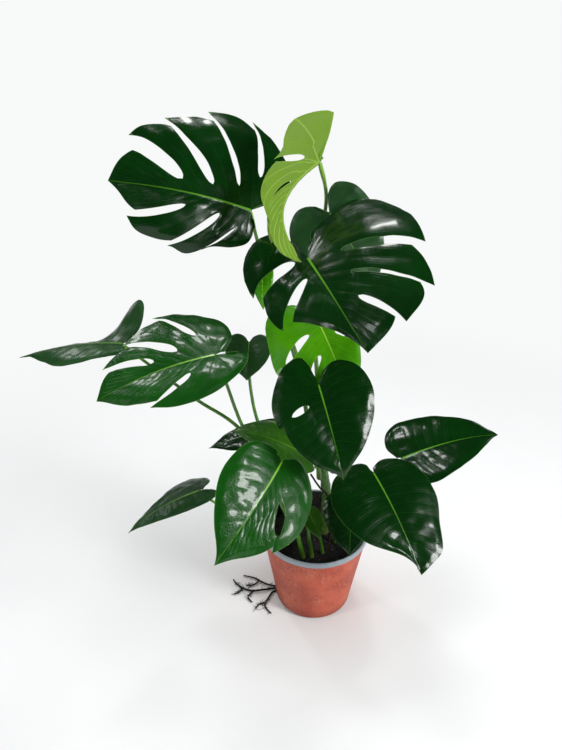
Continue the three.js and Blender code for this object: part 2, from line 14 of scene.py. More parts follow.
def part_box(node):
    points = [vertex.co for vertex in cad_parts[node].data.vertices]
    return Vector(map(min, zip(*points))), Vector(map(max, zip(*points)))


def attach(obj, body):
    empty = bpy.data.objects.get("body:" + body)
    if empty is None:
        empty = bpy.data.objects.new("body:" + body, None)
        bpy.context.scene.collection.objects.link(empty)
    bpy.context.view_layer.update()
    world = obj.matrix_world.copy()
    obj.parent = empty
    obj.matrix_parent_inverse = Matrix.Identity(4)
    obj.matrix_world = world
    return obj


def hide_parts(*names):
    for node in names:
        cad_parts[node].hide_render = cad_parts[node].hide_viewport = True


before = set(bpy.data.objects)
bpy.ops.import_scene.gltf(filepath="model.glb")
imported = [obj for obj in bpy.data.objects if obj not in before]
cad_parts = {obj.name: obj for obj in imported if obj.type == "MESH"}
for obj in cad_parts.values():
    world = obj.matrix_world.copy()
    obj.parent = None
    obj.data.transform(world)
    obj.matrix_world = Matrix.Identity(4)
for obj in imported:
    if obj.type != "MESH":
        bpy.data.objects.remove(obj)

LOG = logging.getLogger("plant")
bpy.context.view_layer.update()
MM = 0.001
ROUND = 6.283          # one turn round a tube, where its roughness is read
BODY = "root"

Point = tuple[float, float, float]
Colour = tuple[float, float, float, float]
Value = float | Colour | bpy.types.NodeSocket


def srgb(code: str) -> Colour:
    """Turn a hex colour into linear light.

    Args:
        code: six hex digits.

    Returns:
        Red, green, blue and alpha.
    """
    parts = [int(code[i:i + 2], 16) / 255 for i in (0, 2, 4)]
    return (*(c / 12.92 if c <= 0.04045 else ((c + 0.055) / 1.055) ** 2.4 for c in parts), 1.0)


def ease(low: float, high: float, x: np.ndarray) -> np.ndarray:
    """Rise smoothly from 0 at low to 1 at high."""
    t = np.clip((x - low) / (high - low), 0, 1)
    return t * t * (3 - 2 * t)


def smooth_line(points: Sequence, steps: int) -> np.ndarray:
    """Run a centripetal Catmull-Rom curve through the points, evenly spaced along its length.

    Args:
        points: the curve's points, in two or three dimensions.
        steps: how many stretches to return.

    Returns:
        An array of steps + 1 points.
    """
    knots = np.array(points, float)
    knots = np.vstack([2 * knots[0] - knots[1], knots, 2 * knots[-1] - knots[-2]])
    dense = []
    for a, b, c, d in zip(knots, knots[1:], knots[2:], knots[3:]):
        t1 = np.linalg.norm(b - a) ** 0.5
        t2 = t1 + np.linalg.norm(c - b) ** 0.5
        t3 = t2 + np.linalg.norm(d - c) ** 0.5
        t = np.linspace(t1, t2, 60, endpoint=False)[:, None]
        near = (t1 - t) / t1 * a + t / t1 * b
        middle = (t2 - t) / (t2 - t1) * b + (t - t1) / (t2 - t1) * c
        far = (t3 - t) / (t3 - t2) * c + (t - t2) / (t3 - t2) * d
        first = (t2 - t) / t2 * near + t / t2 * middle
        second = (t3 - t) / (t3 - t1) * middle + (t - t1) / (t3 - t1) * far
        dense.append((t2 - t) / (t2 - t1) * first + (t - t1) / (t2 - t1) * second)
    line = np.vstack([*dense, knots[-2:-1]])
    return along(line, np.linspace(0, 1, steps + 1))


def along(line: np.ndarray, share: np.ndarray) -> np.ndarray:
    """Read a polyline at shares of its length.

    Args:
        line: the polyline's points.
        share: where to read it, from 0 to 1, in any shape.

    Returns:
        Points, in share's shape with one more axis.
    """
    length = np.concatenate([[0], np.cumsum(np.linalg.norm(np.diff(line, axis=0), axis=1))])
    return np.stack([np.interp(share * length[-1], length, line[:, i]) for i in range(line.shape[1])], -1)


def make_mesh(
    name: str,
    points: np.ndarray,
    faces: Sequence,
    materials: Sequence[bpy.types.Material],
    kinds: Sequence[int] | None = None,
    layers: dict[str, np.ndarray] | None = None,
    crease: float = 50,
) -> bpy.types.Object:
    """Make a smooth-shaded mesh object.

    Args:
        name: the object's name.
        points: its points, in metres.
        faces: the point numbers of each face.
        materials: its materials.
        kinds: each face's material number.
        layers: vectors stored on the points for the materials to read.
        crease: the angle, in degrees, above which an edge stays sharp.

    Returns:
        The new object, linked to the scene.
    """
    mesh = bpy.data.meshes.new(name)
    mesh.from_pydata(np.asarray(points).tolist(), [], faces)
    for material in materials:
        mesh.materials.append(material)
    if kinds is not None:
        mesh.polygons.foreach_set("material_index", np.asarray(kinds, np.int32))
    for layer, values in (layers or {}).items():
        data = mesh.attributes.new(layer, "FLOAT_VECTOR", "POINT").data
        data.foreach_set("vector", np.asarray(values, np.float32).ravel())
    mesh.shade_smooth()
    mesh.set_sharp_from_angle(angle=math.radians(crease))
    mesh.update()
    made = bpy.data.objects.new(name, mesh)
    bpy.context.collection.objects.link(made)
    return made


def fit_piece(piece: bpy.types.Object, slot: str, *nodes: str) -> None:
    """Hold a piece on the plant's one body.

    Args:
        piece: the piece, already in place.
        slot: not used.
        nodes: the CAD nodes that it stands for.
    """
    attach(piece, BODY)
    if nodes:
        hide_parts(*nodes)
    LOG.info("%s: %d points", piece.name, len(piece.data.vertices))


# ---- materials -----------------------------------------------------------------------------


class Graph:
    """A material's node tree, put together with short calls."""

    def __init__(self, name: str) -> None:
        """Start an empty material."""
        self.material = bpy.data.materials.new(name)
        self.material.use_nodes = True
        self.tree = self.material.node_tree
        self.tree.nodes.clear()

    def add(
        self, kind: str, inputs: dict[str | int, Value] | None = None, **settings: object,
    ) -> bpy.types.Node:
        """Add a node.

        Args:
            kind: the node's type.
            inputs: a value or another node's socket for each input.
            settings: the node's own properties.

        Returns:
            The node.
        """
        node = self.tree.nodes.new(kind)
        for key, value in settings.items():
            setattr(node, key, value)
        for key, value in (inputs or {}).items():
            if isinstance(value, bpy.types.NodeSocket):
                self.tree.links.new(value, node.inputs[key])
            else:
                node.inputs[key].default_value = value
        return node

    def layer(self, name: str) -> list[bpy.types.NodeSocket]:
        """Read a vector layer of the mesh as its three numbers, and then whole."""
        read = self.add("ShaderNodeAttribute", attribute_name=name)
        parts = self.add("ShaderNodeSeparateXYZ", {0: read.outputs["Vector"]})
        return [*parts.outputs, read.outputs["Vector"]]

    def place(self) -> bpy.types.NodeSocket:
        """Give the object's own coordinates, in metres."""
        return self.add("ShaderNodeTexCoord").outputs["Object"]

    def noise(
        self, place: Value, scale: float, detail: float = 3, roughness: float = 0.5,
    ) -> bpy.types.NodeSocket:
        """Give a cloudy value between 0 and 1."""
        inputs = {"Vector": place, "Scale": scale, "Detail": detail, "Roughness": roughness}
        return self.add("ShaderNodeTexNoise", inputs).outputs["Fac"]

    def cells(self, place: Value, scale: float, feature: str = "DISTANCE_TO_EDGE") -> bpy.types.NodeSocket:
        """Give the distance to a cell's edge, or to its middle with feature F1."""
        node = self.add("ShaderNodeTexVoronoi", {"Vector": place, "Scale": scale}, feature=feature)
        return node.outputs["Distance"]

    def stretch(self, place: Value, scale: Point) -> bpy.types.NodeSocket:
        """Scale coordinates by a factor on each axis."""
        return self.add("ShaderNodeMapping", {"Vector": place, "Scale": scale}).outputs[0]

    def band(self, value: Value, low: float, high: float) -> bpy.types.NodeSocket:
        """Rise smoothly from 0 at low to 1 at high, or fall where low is above high."""
        inputs = {"Value": value, "From Min": low, "From Max": high}
        return self.add("ShaderNodeMapRange", inputs, interpolation_type="SMOOTHSTEP").outputs[0]

    def span(self, value: Value, low: float, high: float) -> bpy.types.NodeSocket:
        """Spread a value between 0 and 1 over low to high."""
        return self.add("ShaderNodeMapRange", {"Value": value, "To Min": low, "To Max": high}).outputs[0]

    def sum(self, operation: str, *values: Value) -> bpy.types.NodeSocket:
        """Join numbers by one of Blender's math operations."""
        node = self.add("ShaderNodeMath", dict(enumerate(values)), operation=operation)
        return node.outputs[0]

    def blend(self, share: Value, below: Value, above: Value, mode: str = "MIX") -> bpy.types.NodeSocket:
        """Lay one colour over another."""
        node = self.add("ShaderNodeMix", {0: share, 6: below, 7: above}, data_type="RGBA", blend_type=mode)
        return node.outputs[2]

    def bump(self, height: Value, depth: float, below: Value | None = None) -> bpy.types.NodeSocket:
        """Turn a height between 0 and 1 into a normal, depth metres high."""
        inputs = {"Height": height, "Strength": 1.0, "Distance": depth}
        if below is not None:
            inputs["Normal"] = below
        return self.add("ShaderNodeBump", inputs).outputs[0]

    def surface(self, **inputs: Value) -> bpy.types.Node:
        """Add the plain surface shader, with words_joined for the names of its inputs."""
        named = {key.replace("_", " "): value for key, value in inputs.items()}
        return self.add("ShaderNodeBsdfPrincipled", named)

    def done(self, shader: bpy.types.Node) -> bpy.types.Material:
        """Send a shader to the output.

        Args:
            shader: the node whose first output is the surface.

        Returns:
            The finished material.
        """
        self.add("ShaderNodeOutputMaterial", {"Surface": shader.outputs[0]})
        return self.material


@dataclass(frozen=True)
class LeafFinish:
    """How a blade looks. Colours are hex, and the rest runs from 0 to 1."""

    slot: str
    upper: str
    blotch: str
    vein: str
    rib: str
    under: str
    rim: str
    roughness: float = 0.22
    coat: float = 0.3
    veins: float = 0.3
    glow: float = 0.06
    grain: float = 1.0
    gloss: float = 0.36

    def faces(self) -> list[bpy.types.Material]:
        """Make the upper face, the under face and the rim.

        Returns:
            The three materials, in that order.
        """
        return [self.upper_face(), self.under_face(), self.rim_face()]

    def upper_face(self) -> bpy.types.Material:
        """Make the waxy upper face, with pale veins sunk between fine cross lines."""
        g = Graph(f"{self.slot}_upper")
        vein, rib, rim, _ = g.layer("blade_lines")
        count, reach, tone, _ = g.layer("blade_grid")
        run = g.layer("blade_run")[0]
        flat = g.layer("blade_flat")[3]
        colour = g.blend(g.band(g.noise(flat, 22, 4), 0.35, 0.7), srgb(self.upper), srgb(self.blotch))
        colour = g.blend(g.sum("MULTIPLY", tone, 0.5), colour, srgb(self.blotch))
        fine = g.sum("ABSOLUTE", g.sum("SINE", g.sum("MULTIPLY", count, 5 * math.pi)))
        fine = g.sum("MULTIPLY", g.band(fine, 0.35, 0.0), g.band(reach, 0.05, 0.3))
        colour = g.blend(g.sum("MULTIPLY", fine, 0.10), colour, srgb(self.vein))
        edge = g.sum("MULTIPLY", g.band(vein, 0.7, 0.1), g.span(reach, self.veins, self.veins * 0.25))
        colour = g.blend(edge, colour, srgb(self.vein))
        fade = g.span(g.band(run, 0.0, 0.75), 1.0, 0.3)
        colour = g.blend(g.sum("MULTIPLY", g.band(rib, 1.05, 0.6), fade), colour, srgb(self.rib))
        colour = g.blend(g.sum("MULTIPLY", g.band(rim, 0.7, 0.2), 0.5), colour, srgb(self.rim))
        net = g.band(g.cells(flat, 330), 0.0, 0.25)
        height = g.sum("SUBTRACT", g.sum("MULTIPLY", net, 0.3), g.sum("MULTIPLY", fine, 0.5))
        normal = g.bump(height, 0.00012)
        normal = g.bump(g.noise(flat, 480, 2, 0.6), self.grain * 0.0002, normal)
        normal = g.bump(g.noise(flat, 40, 1), 0.0005, normal)
        rough = g.span(g.noise(flat, 90, 3), self.roughness - 0.06, self.roughness + 0.1)
        return g.done(self.waxy(g, colour, rough, normal, self.coat))

    def under_face(self) -> bpy.types.Material:
        """Make the duller under face, with raised pale veins."""
        g = Graph(f"{self.slot}_under")
        vein, rib, _, _ = g.layer("blade_lines")
        flat = g.layer("blade_flat")[3]
        colour = g.blend(g.noise(flat, 30, 3), srgb(self.under), srgb(self.rim))
        colour = g.blend(0.55, colour, srgb(self.under))
        lines = g.sum("MAXIMUM", g.band(vein, 1.3, 0.3), g.band(rib, 1.3, 0.8))
        colour = g.blend(g.sum("MULTIPLY", lines, 0.6), colour, srgb(self.vein))
        normal = g.bump(g.band(g.cells(flat, 260), 0.0, 0.3), 0.00015)
        return g.done(self.waxy(g, colour, self.roughness + 0.2, normal, 0.0))

    def rim_face(self) -> bpy.types.Material:
        """Make the thin pale rim."""
        g = Graph(f"{self.slot}_rim")
        colour = g.blend(g.noise(g.layer("blade_flat")[3], 90), srgb(self.rim), srgb(self.vein))
        return g.done(self.waxy(g, colour, 0.45, g.bump(g.noise(g.place(), 400), 0.0001), 0.0))

    def waxy(self, g: Graph, colour: Value, rough: Value, normal: Value, coat: float) -> bpy.types.Node:
        """Cover a colour in leaf wax and let a little light through.

        Args:
            g: the material's graph.
            colour: the leaf's colour.
            rough: how rough the wax is.
            normal: the bumps in it.
            coat: how much clear gloss lies over it.

        Returns:
            The shader.
        """
        face = g.surface(
            Base_Color=colour, Roughness=rough, Normal=normal, IOR=1.42, Specular_IOR_Level=self.gloss,
            Coat_Weight=coat, Coat_Roughness=0.08,
        )
        through = g.add("ShaderNodeBsdfTranslucent", {"Color": colour, "Normal": normal})
        return g.add("ShaderNodeMixShader", {0: self.glow, 1: face.outputs[0], 2: through.outputs[0]})


DARK = LeafFinish("leaf_dark", "022204", "042e06", "1d4a12", "5c9a24", "2f5a1e", "4a7a30", roughness=0.2)
MID = LeafFinish(
    "leaf_mid", "073808", "104c0c", "2f6a1a", "7ab428", "3f6a1c", "7fae58", roughness=0.2, grain=2.4,
)
OLIVE = LeafFinish(
    "leaf_olive", "1b4a06", "2f600c", "4a7a1c", "6a9a24", "4a6a18", "7a9a48", coat=0.1, roughness=0.34,
)
LIME = LeafFinish("leaf_lime", "2f8004", "52a40a", "7cc024", "a8d84a", "6f9a2a", "a4d052", glow=0.15)
PALE = LeafFinish(
    "leaf_pale", "5c861c", "7aa42c", "96b850", "a8c860", "66882c", "7aa414",
    glow=0.15, coat=0.1, roughness=0.36,
)
BACK = LeafFinish(
    "leaf_back", "163a1a", "224a22", "3a6230", "6a9a3c", "3a5a26", "557a40", coat=0.1, roughness=0.34,
)


@dataclass(frozen=True)
class StalkFinish:
    """The skin of a green stalk, which yellows towards its blade and browns at its foot."""

    slot: str
    skin: str
    streak: str
    top: str
    foot: str
    roughness: float = 0.38

    def material(self) -> bpy.types.Material:
        """Make the skin from layer tube_run: share along, turn round, and millimetres along."""
        g = Graph(f"{self.slot}_skin")
        share, turn, run, whole = g.layer("tube_run")
        grain = g.noise(g.stretch(whole, (1.0, 16.0, 0.12)), 1.0, 4, 0.6)
        colour = g.blend(g.band(grain, 0.42, 0.62), srgb(self.skin), srgb(self.streak))
        colour = g.blend(g.sum("MULTIPLY", g.band(share, 0.9, 1.0), 0.8), colour, srgb(self.top))
        colour = g.blend(g.sum("MULTIPLY", g.band(share, 0.14, 0.0), 0.75), colour, srgb(self.foot))
        flecks = g.band(g.cells(g.place(), 520, "F1"), 0.22, 0.1)
        colour = g.blend(g.sum("MULTIPLY", flecks, 0.3), colour, srgb(self.top))
        normal = g.bump(g.sum("ADD", grain, g.sum("MULTIPLY", flecks, 0.4)), 0.0003)
        shader = g.surface(Base_Color=colour, Roughness=self.roughness, Normal=normal, Coat_Weight=0.15)
        return g.done(shader)


STALK = StalkFinish("petiole", "2f6410", "5a9424", "8ab83a", "4a5a20")
STEM_SKIN = StalkFinish("stem", "31591a", "4f7d26", "6a9030", "4c4a22", roughness=0.5)
ROOT_SKIN = StalkFinish("root", "0c0806", "24160e", "2a1c12", "0a0706", roughness=0.8)


class PotPart(Enum):
    """The pot's three surfaces, as material numbers."""

    WALL = 0
    RIM = 1
    INSIDE = 2


@dataclass(frozen=True)
class PotFinish:
    """The pot's scuffed clay-red wall, cool grey rolled rim and dark inside."""

    wall: str = "a23a20"
    bare: str = "bc5236"
    dust: str = "cfa48c"
    rim: str = "7d8992"
    inside: str = "15130f"

    def materials(self) -> list[bpy.types.Material]:
        """Make a material for each of the pot's surfaces, in PotPart's order."""
        return [self.wall_face(), self.rim_face(), self.inner_face()]

    def wall_face(self) -> bpy.types.Material:
        """Make the wall: two reds in clouds, pale grainy dust, dark specks and a foot that darkens towards
        the bottom.
        """
        g = Graph("pot_wall")
        place = g.place()
        height = g.add("ShaderNodeSeparateXYZ", {0: place}).outputs[2]
        colour = g.blend(g.band(g.noise(place, 16, 4, 0.6), 0.38, 0.66), srgb(self.wall), srgb(self.bare))
        grain = g.band(g.noise(place, 330, 3, 0.7), 0.46, 0.68)
        cloud = g.band(g.noise(place, 26, 5, 0.65), 0.44, 0.72)
        dust = g.sum("MULTIPLY", g.sum("MULTIPLY", grain, cloud), 0.75)
        colour = g.blend(dust, colour, srgb(self.dust))
        scratch = g.noise(g.stretch(place, (1.0, 1.0, 0.06)), 150, 2, 0.7)
        colour = g.blend(g.sum("MULTIPLY", g.band(scratch, 0.6, 0.75), 0.2), colour, srgb(self.dust))
        specks = g.band(g.cells(place, 95, "F1"), 0.13, 0.07)
        colour = g.blend(g.sum("MULTIPLY", specks, 0.85), colour, srgb(self.inside))
        # the lowest 30 mm of the wall turn darker red towards the bottom
        darker_foot = g.sum("MULTIPLY", g.band(height, 0.03, 0.0), 0.45)
        colour = g.blend(darker_foot, colour, srgb("6a2416"))
        normal = g.bump(g.noise(place, 420, 3, 0.6), 0.0004)
        rough = g.span(cloud, 0.5, 0.75)
        return g.done(g.surface(Base_Color=colour, Roughness=rough, Normal=normal))

    def rim_face(self) -> bpy.types.Material:
        """Make the smooth grey rim, with soil marks."""
        g = Graph("pot_rim")
        place = g.place()
        colour = g.blend(g.noise(place, 45, 4), srgb(self.rim), srgb("97a2a9"))
        marks = g.band(g.noise(place, 140, 4, 0.7), 0.62, 0.72)
        colour = g.blend(g.sum("MULTIPLY", marks, 0.5), colour, srgb("5a4a40"))
        normal = g.bump(g.noise(place, 260, 3), 0.0003)
        return g.done(g.surface(Base_Color=colour, Roughness=0.42, Normal=normal))

    def inner_face(self) -> bpy.types.Material:
        """Make the dark inside, dusted with soil."""
        g = Graph("pot_inside")
        place = g.place()
        colour = g.blend(g.band(g.noise(place, 200, 4, 0.7), 0.5, 0.75), srgb(self.inside), srgb("3a3028"))
        return g.done(g.surface(Base_Color=colour, Roughness=0.7, Normal=g.bump(g.noise(place, 300), 0.0004)))


def crumb_material(name: str, dark: str, light: str, scale: float, rough: float = 0.95) -> bpy.types.Material:
    """Make a rough, speckled loose material.

    Args:
        name: the material's name.
        dark: its main colour.
        light: the colour of its specks.
        scale: how fine its grain is, per metre.
        rough: its roughness.

    Returns:
        The material.
    """
    g = Graph(name)
    place = g.place()
    colour = g.blend(g.band(g.noise(place, scale, 5, 0.7), 0.45, 0.75), srgb(dark), srgb(light))
    normal = g.bump(g.noise(place, scale * 2, 4, 0.7), 0.0012)
    return g.done(g.surface(Base_Color=colour, Roughness=rough, Normal=normal))


# ---- leaf blades ---------------------------------------------------------------------------
# A blade is drawn flat: u runs along the midrib from the stalk (0) to the tip (1), and v runs
# outwards, both in midrib lengths. Its grid has columns that run out along the side veins and
# rows that run round the blade, and count is the column's place among the side veins.

FAN_VEINS = 4          # side veins that spread from the stalk into a basal lobe
RIB_VEINS = 10         # side veins that leave the midrib
VEINS = FAN_VEINS + RIB_VEINS
RIB_REACH = 0.86       # the last side vein leaves the midrib here
VEIN_BOW = 0.12        # sideways bow of a side vein, per length
STEPS = 6              # columns between two side veins
FULL_WIDTH = 0.35      # share of a split's length in which it reaches its full width
HOOK = 0.7             # how far a lobe's hook closes the mouth of a split from its side
CORNER = 0.1           # how far the corner facing the hook is rounded off
ROOM = 0.42            # most of a strip that a split may take from its side
ROWS = 30
ROW_CROWD = 1.25       # rows crowd towards the midrib
SHEET = 0.8            # blade thickness, in millimetres


@dataclass(frozen=True)
class Split:
    """A gap between two lobes, along the side vein that leaves the midrib at start.

    It meets the margin at the share `at` of the outline and is open over the shares `reach` of
    the vein. `width` is half its greatest width in midrib lengths, and `mouth` is what is left
    of that at the margin.
    """

    start: float
    at: float
    reach: tuple[float, float]
    width: float
    mouth: float = 0.5

    @property
    def open_ended(self) -> bool:
        """Whether the gap runs out through the margin."""
        return self.reach[1] >= 1

    def column(self) -> int:
        """Give the side vein that the gap lies on."""
        if self.start <= 0:
            return FAN_VEINS - 1
        return FAN_VEINS + round(self.start / RIB_REACH * RIB_VEINS)


@dataclass(frozen=True)
class Half:
    """Half of a blade: its outline from the sinus to the tip, its splits and how it bends."""

    outline: Sequence[tuple[float, float]]
    splits: Sequence[Split] = ()
    fold: float = 10
    curl: float = -35
    lift: float = 0


HEART = ((-0.05, 0.04), (-0.17, 0.12), (-0.22, 0.28), (-0.1, 0.47), (0.15, 0.54),
         (0.42, 0.48), (0.7, 0.3), (0.92, 0.07), (1, 0))


def heart(width: float, **bend: float) -> Half:
    """Make a plain heart-shaped half, width times as wide as the usual one."""
    return Half(outline=tuple((u, v * width) for u, v in HEART), **bend)


@dataclass
class Edge:
    """A column where two strips of a half meet, with the split that may lie along it."""

    column: int
    at: float
    split: Split | None = None
    rows: tuple[int, int] = (0, 0)

    def gap(self, reach: np.ndarray, hooked: bool) -> np.ndarray:
        """Say how far the split has opened on one side, in midrib lengths.

        Args:
            reach: the rows' shares of the way out.
            hooked: whether this side's lobe ends in a hook that closes the mouth.

        Returns:
            The gap at each row.
        """
        if self.split is None:
            return np.zeros_like(reach)
        begin = reach[self.rows[0]]
        end = 1.0 if self.split.open_ended else reach[self.rows[1]]
        t = np.clip((reach - begin) / (end - begin), 0, 1)
        if not self.split.open_ended:
            return self.split.width * np.sqrt(np.sin(math.pi * t).clip(0))
        opening = np.sqrt(1 - (1 - (t / FULL_WIDTH).clip(0, 1)) ** 2)
        mouth = self.split.mouth * (1 - HOOK * t ** 4 * hooked)
        return self.split.width * opening * (1 + (mouth - 1) * t ** 1.5)

    def opened(self, row: int) -> bool:
        """Whether the split is open at this row."""
        return self.split is not None and self.rows[0] < row < self.rows[1]


@dataclass(frozen=True)
class Leaf:
    """A blade on a stalk of its own. Places are in millimetres in the object's frame."""

    name: str
    finish: LeafFinish
    junction: Point
    tip: Point
    roll: float
    right: Half
    left: Half
    petiole: Sequence[Point]
    arch: float = 0.06
    relief: float = 0.026
    wave: float = 0.012

    @property
    def length(self) -> float:
        """The midrib's length."""
        return math.dist(self.junction, self.tip)

    def axes(self) -> tuple[np.ndarray, np.ndarray, np.ndarray]:
        """Give the directions to the tip, to the right and out of the upper face."""
        ahead = Vector(self.tip) - Vector(self.junction)
        ahead.normalize()
        level = ahead.cross(Vector((0, 0, 1))).normalized()
        flat_up = level.cross(ahead)
        turn = math.radians(self.roll)
        side = level * math.cos(turn) + flat_up * math.sin(turn)
        return np.array(ahead), np.array(side), np.array(side.cross(ahead))

    def bend(self, flat: np.ndarray) -> np.ndarray:
        """Bend flat points: the midrib arches, and each half folds up from it and curls across.

        Args:
            flat: rows of u and v.

        Returns:
            Points in millimetres.
        """
        ahead, side, up = self.axes()
        u, v = flat[:, 0], flat[:, 1]
        right = v >= 0
        raised = ease(0, 0.6, 0.35 - u) * np.where(right, self.right.lift, self.left.lift)
        fold = np.radians(np.where(right, self.right.fold, self.left.fold) + raised)
        curl = np.radians(np.where(right, self.right.curl, self.left.curl)) + 1e-6
        slope = 4 * self.arch * (1 - 2 * u.clip(0))
        height = 4 * self.arch * u * (1 - u.clip(0))
        across = (np.sin(fold + curl * abs(v)) - np.sin(fold)) / curl
        lifted = (np.cos(fold) - np.cos(fold + curl * abs(v))) / curl
        tilt = (up - slope[:, None] * ahead) / np.sqrt(1 + slope[:, None] ** 2)
        place = u[:, None] * ahead + height[:, None] * up
        place += (np.sign(v) * across)[:, None] * side + lifted[:, None] * tilt
        return np.array(self.junction) + self.length * place


class Blade:
    """Builds one leaf's blade as a closed sheet with veins, quilting and a wavy margin."""

    def __init__(self, leaf: Leaf, number: int) -> None:
        """Start an empty blade.

        Args:
            leaf: its shape.
            number: its place in the plant, which varies its waves and its tone.
        """
        self.leaf = leaf
        self.number = number
        self.reach = np.linspace(0, 1, ROWS + 1) ** ROW_CROWD
        self.keys: dict[tuple, int] = {}
        self.rows: list[tuple[float, ...]] = []
        self.faces: list[tuple[int, ...]] = []

    def row_of(self, share: float) -> int:
        """Find the row nearest to a share of the way out."""
        return int(np.abs(self.reach - share).argmin())

    def edges(self, half: Half) -> list[Edge]:
        """List the edges between a half's strips, from the sinus to the tip."""
        found = [Edge(0, 0)]
        for split in half.splits:
            column = max(split.column(), found[-1].column + 2)
            last = ROWS + 1 if split.open_ended else min(self.row_of(split.reach[1]), ROWS - 1)
            found.append(Edge(column, split.at, split, (self.row_of(split.reach[0]), last)))
        return [*found, Edge(VEINS, 1)]

    def strip(self, margin: np.ndarray, low: Edge, high: Edge) -> np.ndarray:
        """Lay out one strip of a half.

        Args:
            margin: the half's outline, finely stepped.
            low: the edge towards the sinus.
            high: the edge towards the tip.

        Returns:
            For each column and row: u, v, count, reach, gap between side veins and
            distance to the blade's edge, the last two in midrib lengths.
        """
        columns = (high.column - low.column) * STEPS + 1
        count = np.linspace(low.column, high.column, columns)[:, None]
        reach = self.reach[None, :]
        q = (count - low.column) / (high.column - low.column)
        length = np.linalg.norm(np.diff(margin, axis=0), axis=1).sum()
        root_u = RIB_REACH * (count - FAN_VEINS).clip(0) / RIB_VEINS
        root = np.stack([root_u, np.zeros_like(root_u)], -1)
        far = reach * length + 1e-6
        room = ROOM * (high.at - low.at + (root_u[-1] - root_u[0]) * (1 - reach) / far)
        begin = low.at + np.minimum(low.gap(self.reach, False)[None, :] / far, room)
        end = high.at - np.minimum(high.gap(self.reach, True)[None, :] / far, room)
        outer = along(margin, begin + q * (end - begin))
        cut = CORNER * (1 - q) ** 3 * (low.split is not None)
        hook = 0.02 * q ** 6 * (high.split is not None and high.split.open_ended)
        t = (reach * (1 - (cut - hook) * reach ** 4))[..., None]
        chord = outer - root
        bowed = VEIN_BOW * (2 * count / FAN_VEINS).clip(0, 1) * (count < VEINS)
        bow = np.stack([-chord[..., 1], chord[..., 0]], -1) * bowed[..., None]
        control = (root + outer) / 2 + bow
        flat = (1 - t) ** 2 * root + 2 * t * (1 - t) * control + t * t * outer
        spacing = np.linalg.norm(np.gradient(flat, axis=0), axis=-1) * STEPS
        rim = (1 - reach) * np.linalg.norm(chord, axis=-1)
        for edge, steps in ((low, count - low.column), (high, high.column - count)):
            if edge.split:
                opened = [edge.opened(row) for row in range(ROWS + 1)]
                rim = np.where(opened, np.minimum(rim, steps * spacing), rim)
        whole = np.ones_like(rim)
        return np.stack([flat[..., 0], flat[..., 1], count * whole, reach * whole, spacing * whole, rim], -1)

    def add_half(self, sign: int, half: Half) -> None:
        """Add one half's points and faces.

        Args:
            sign: 1 for the right half and -1 for the left.
            half: its shape.
        """
        margin = smooth_line(half.outline, 400)
        edges = self.edges(half)
        for number, (low, high) in enumerate(zip(edges, edges[1:])):
            values = self.strip(margin, low, high)
            ids = np.zeros(values.shape[:2], int)
            for i in range(values.shape[0]):
                column = low.column * STEPS + i
                for row in range(ROWS + 1):
                    ids[i, row] = self.point(sign, number, edges, column, row, values[i, row])
            for i in range(values.shape[0] - 1):
                for row in range(ROWS):
                    ring = [ids[i, row + 1], ids[i + 1, row + 1], ids[i + 1, row], ids[i, row]]
                    face = [n for n, after in zip(ring, ring[1:] + ring[:1]) if n != after]
                    if len(face) > 2:
                        self.faces.append(tuple(face if sign > 0 else face[::-1]))

    def point(
        self, sign: int, strip: int, edges: list[Edge], column: int, row: int, values: np.ndarray,
    ) -> int:
        """Find or add one point of the grid, shared wherever the blade is whole.

        Args:
            sign: which half it is in.
            strip: which strip of the half it is in.
            edges: the half's edges.
            column: its fine column.
            row: its row.
            values: what strip() gives for it.

        Returns:
            The point's number.
        """
        key = (sign, column, row)
        for edge in edges[strip:strip + 2]:
            if edge.column * STEPS == column and edge.opened(row):
                key = (sign, column, row, strip)
        if row == 0:
            key = ("rib", max(column, FAN_VEINS * STEPS))
        elif column == VEINS * STEPS:
            key = ("end", row)
        if key not in self.keys:
            self.keys[key] = len(self.rows)
            u, v, *rest = values
            self.rows.append((u, sign * v, *rest))
        return self.keys[key]

    def relief(self, grid: np.ndarray) -> np.ndarray:
        """Raise the blade between its side veins and wave its outer part.

        Args:
            grid: the points' rows of values.

        Returns:
            How far each point rises, in millimetres.
        """
        u, v, count, reach, spacing = grid.T[:5]
        length = self.leaf.length
        quilt = np.abs(np.sin(math.pi * count)) ** 0.75 * ease(0, 0.22, reach)
        quilt *= 1 - 0.75 * ease(0.7, 1, reach)
        raised = self.leaf.relief * spacing.clip(0, 0.14) * length * quilt
        phase = 2.4 * self.number
        long_wave = np.sin(2.1 * u * math.pi + 1.3 * np.sign(v) + phase) * np.abs(v) ** 1.5 * 2
        short_wave = np.sin(7.5 * u + 5 * v + phase) * ease(0.45, 1, reach) * 0.8
        lumps = np.array([noise.noise(Vector((9 * a, 9 * b, phase))) for a, b in zip(u, v)]) * 0.8
        dip = -0.012 * length * ease(0.8, 1, reach) * ease(0, 0.1, 1 - u)
        return raised + self.leaf.wave * length * (long_wave + short_wave + lumps * ease(0, 0.3, reach)) + dip

    def vein_lines(self, grid: np.ndarray) -> np.ndarray:
        """Measure how far each point lies from the veins and the rim.

        Args:
            grid: the points' rows of values.

        Returns:
            Millimetres to the nearest side vein, the midrib in shares of its half width, and
            millimetres to the blade's edge.
        """
        u, v, count, _, spacing, rim = grid.T
        length = self.leaf.length
        vein = np.abs(count - np.round(count)) * spacing * length
        rib_width = 0.35 + 0.0085 * length * (1 - u.clip(0, 1)) ** 0.8
        rib = np.where(u >= 0, np.abs(v) * length, np.hypot(u, v) * length) / rib_width
        return np.stack([vein, rib, rim * length], -1)

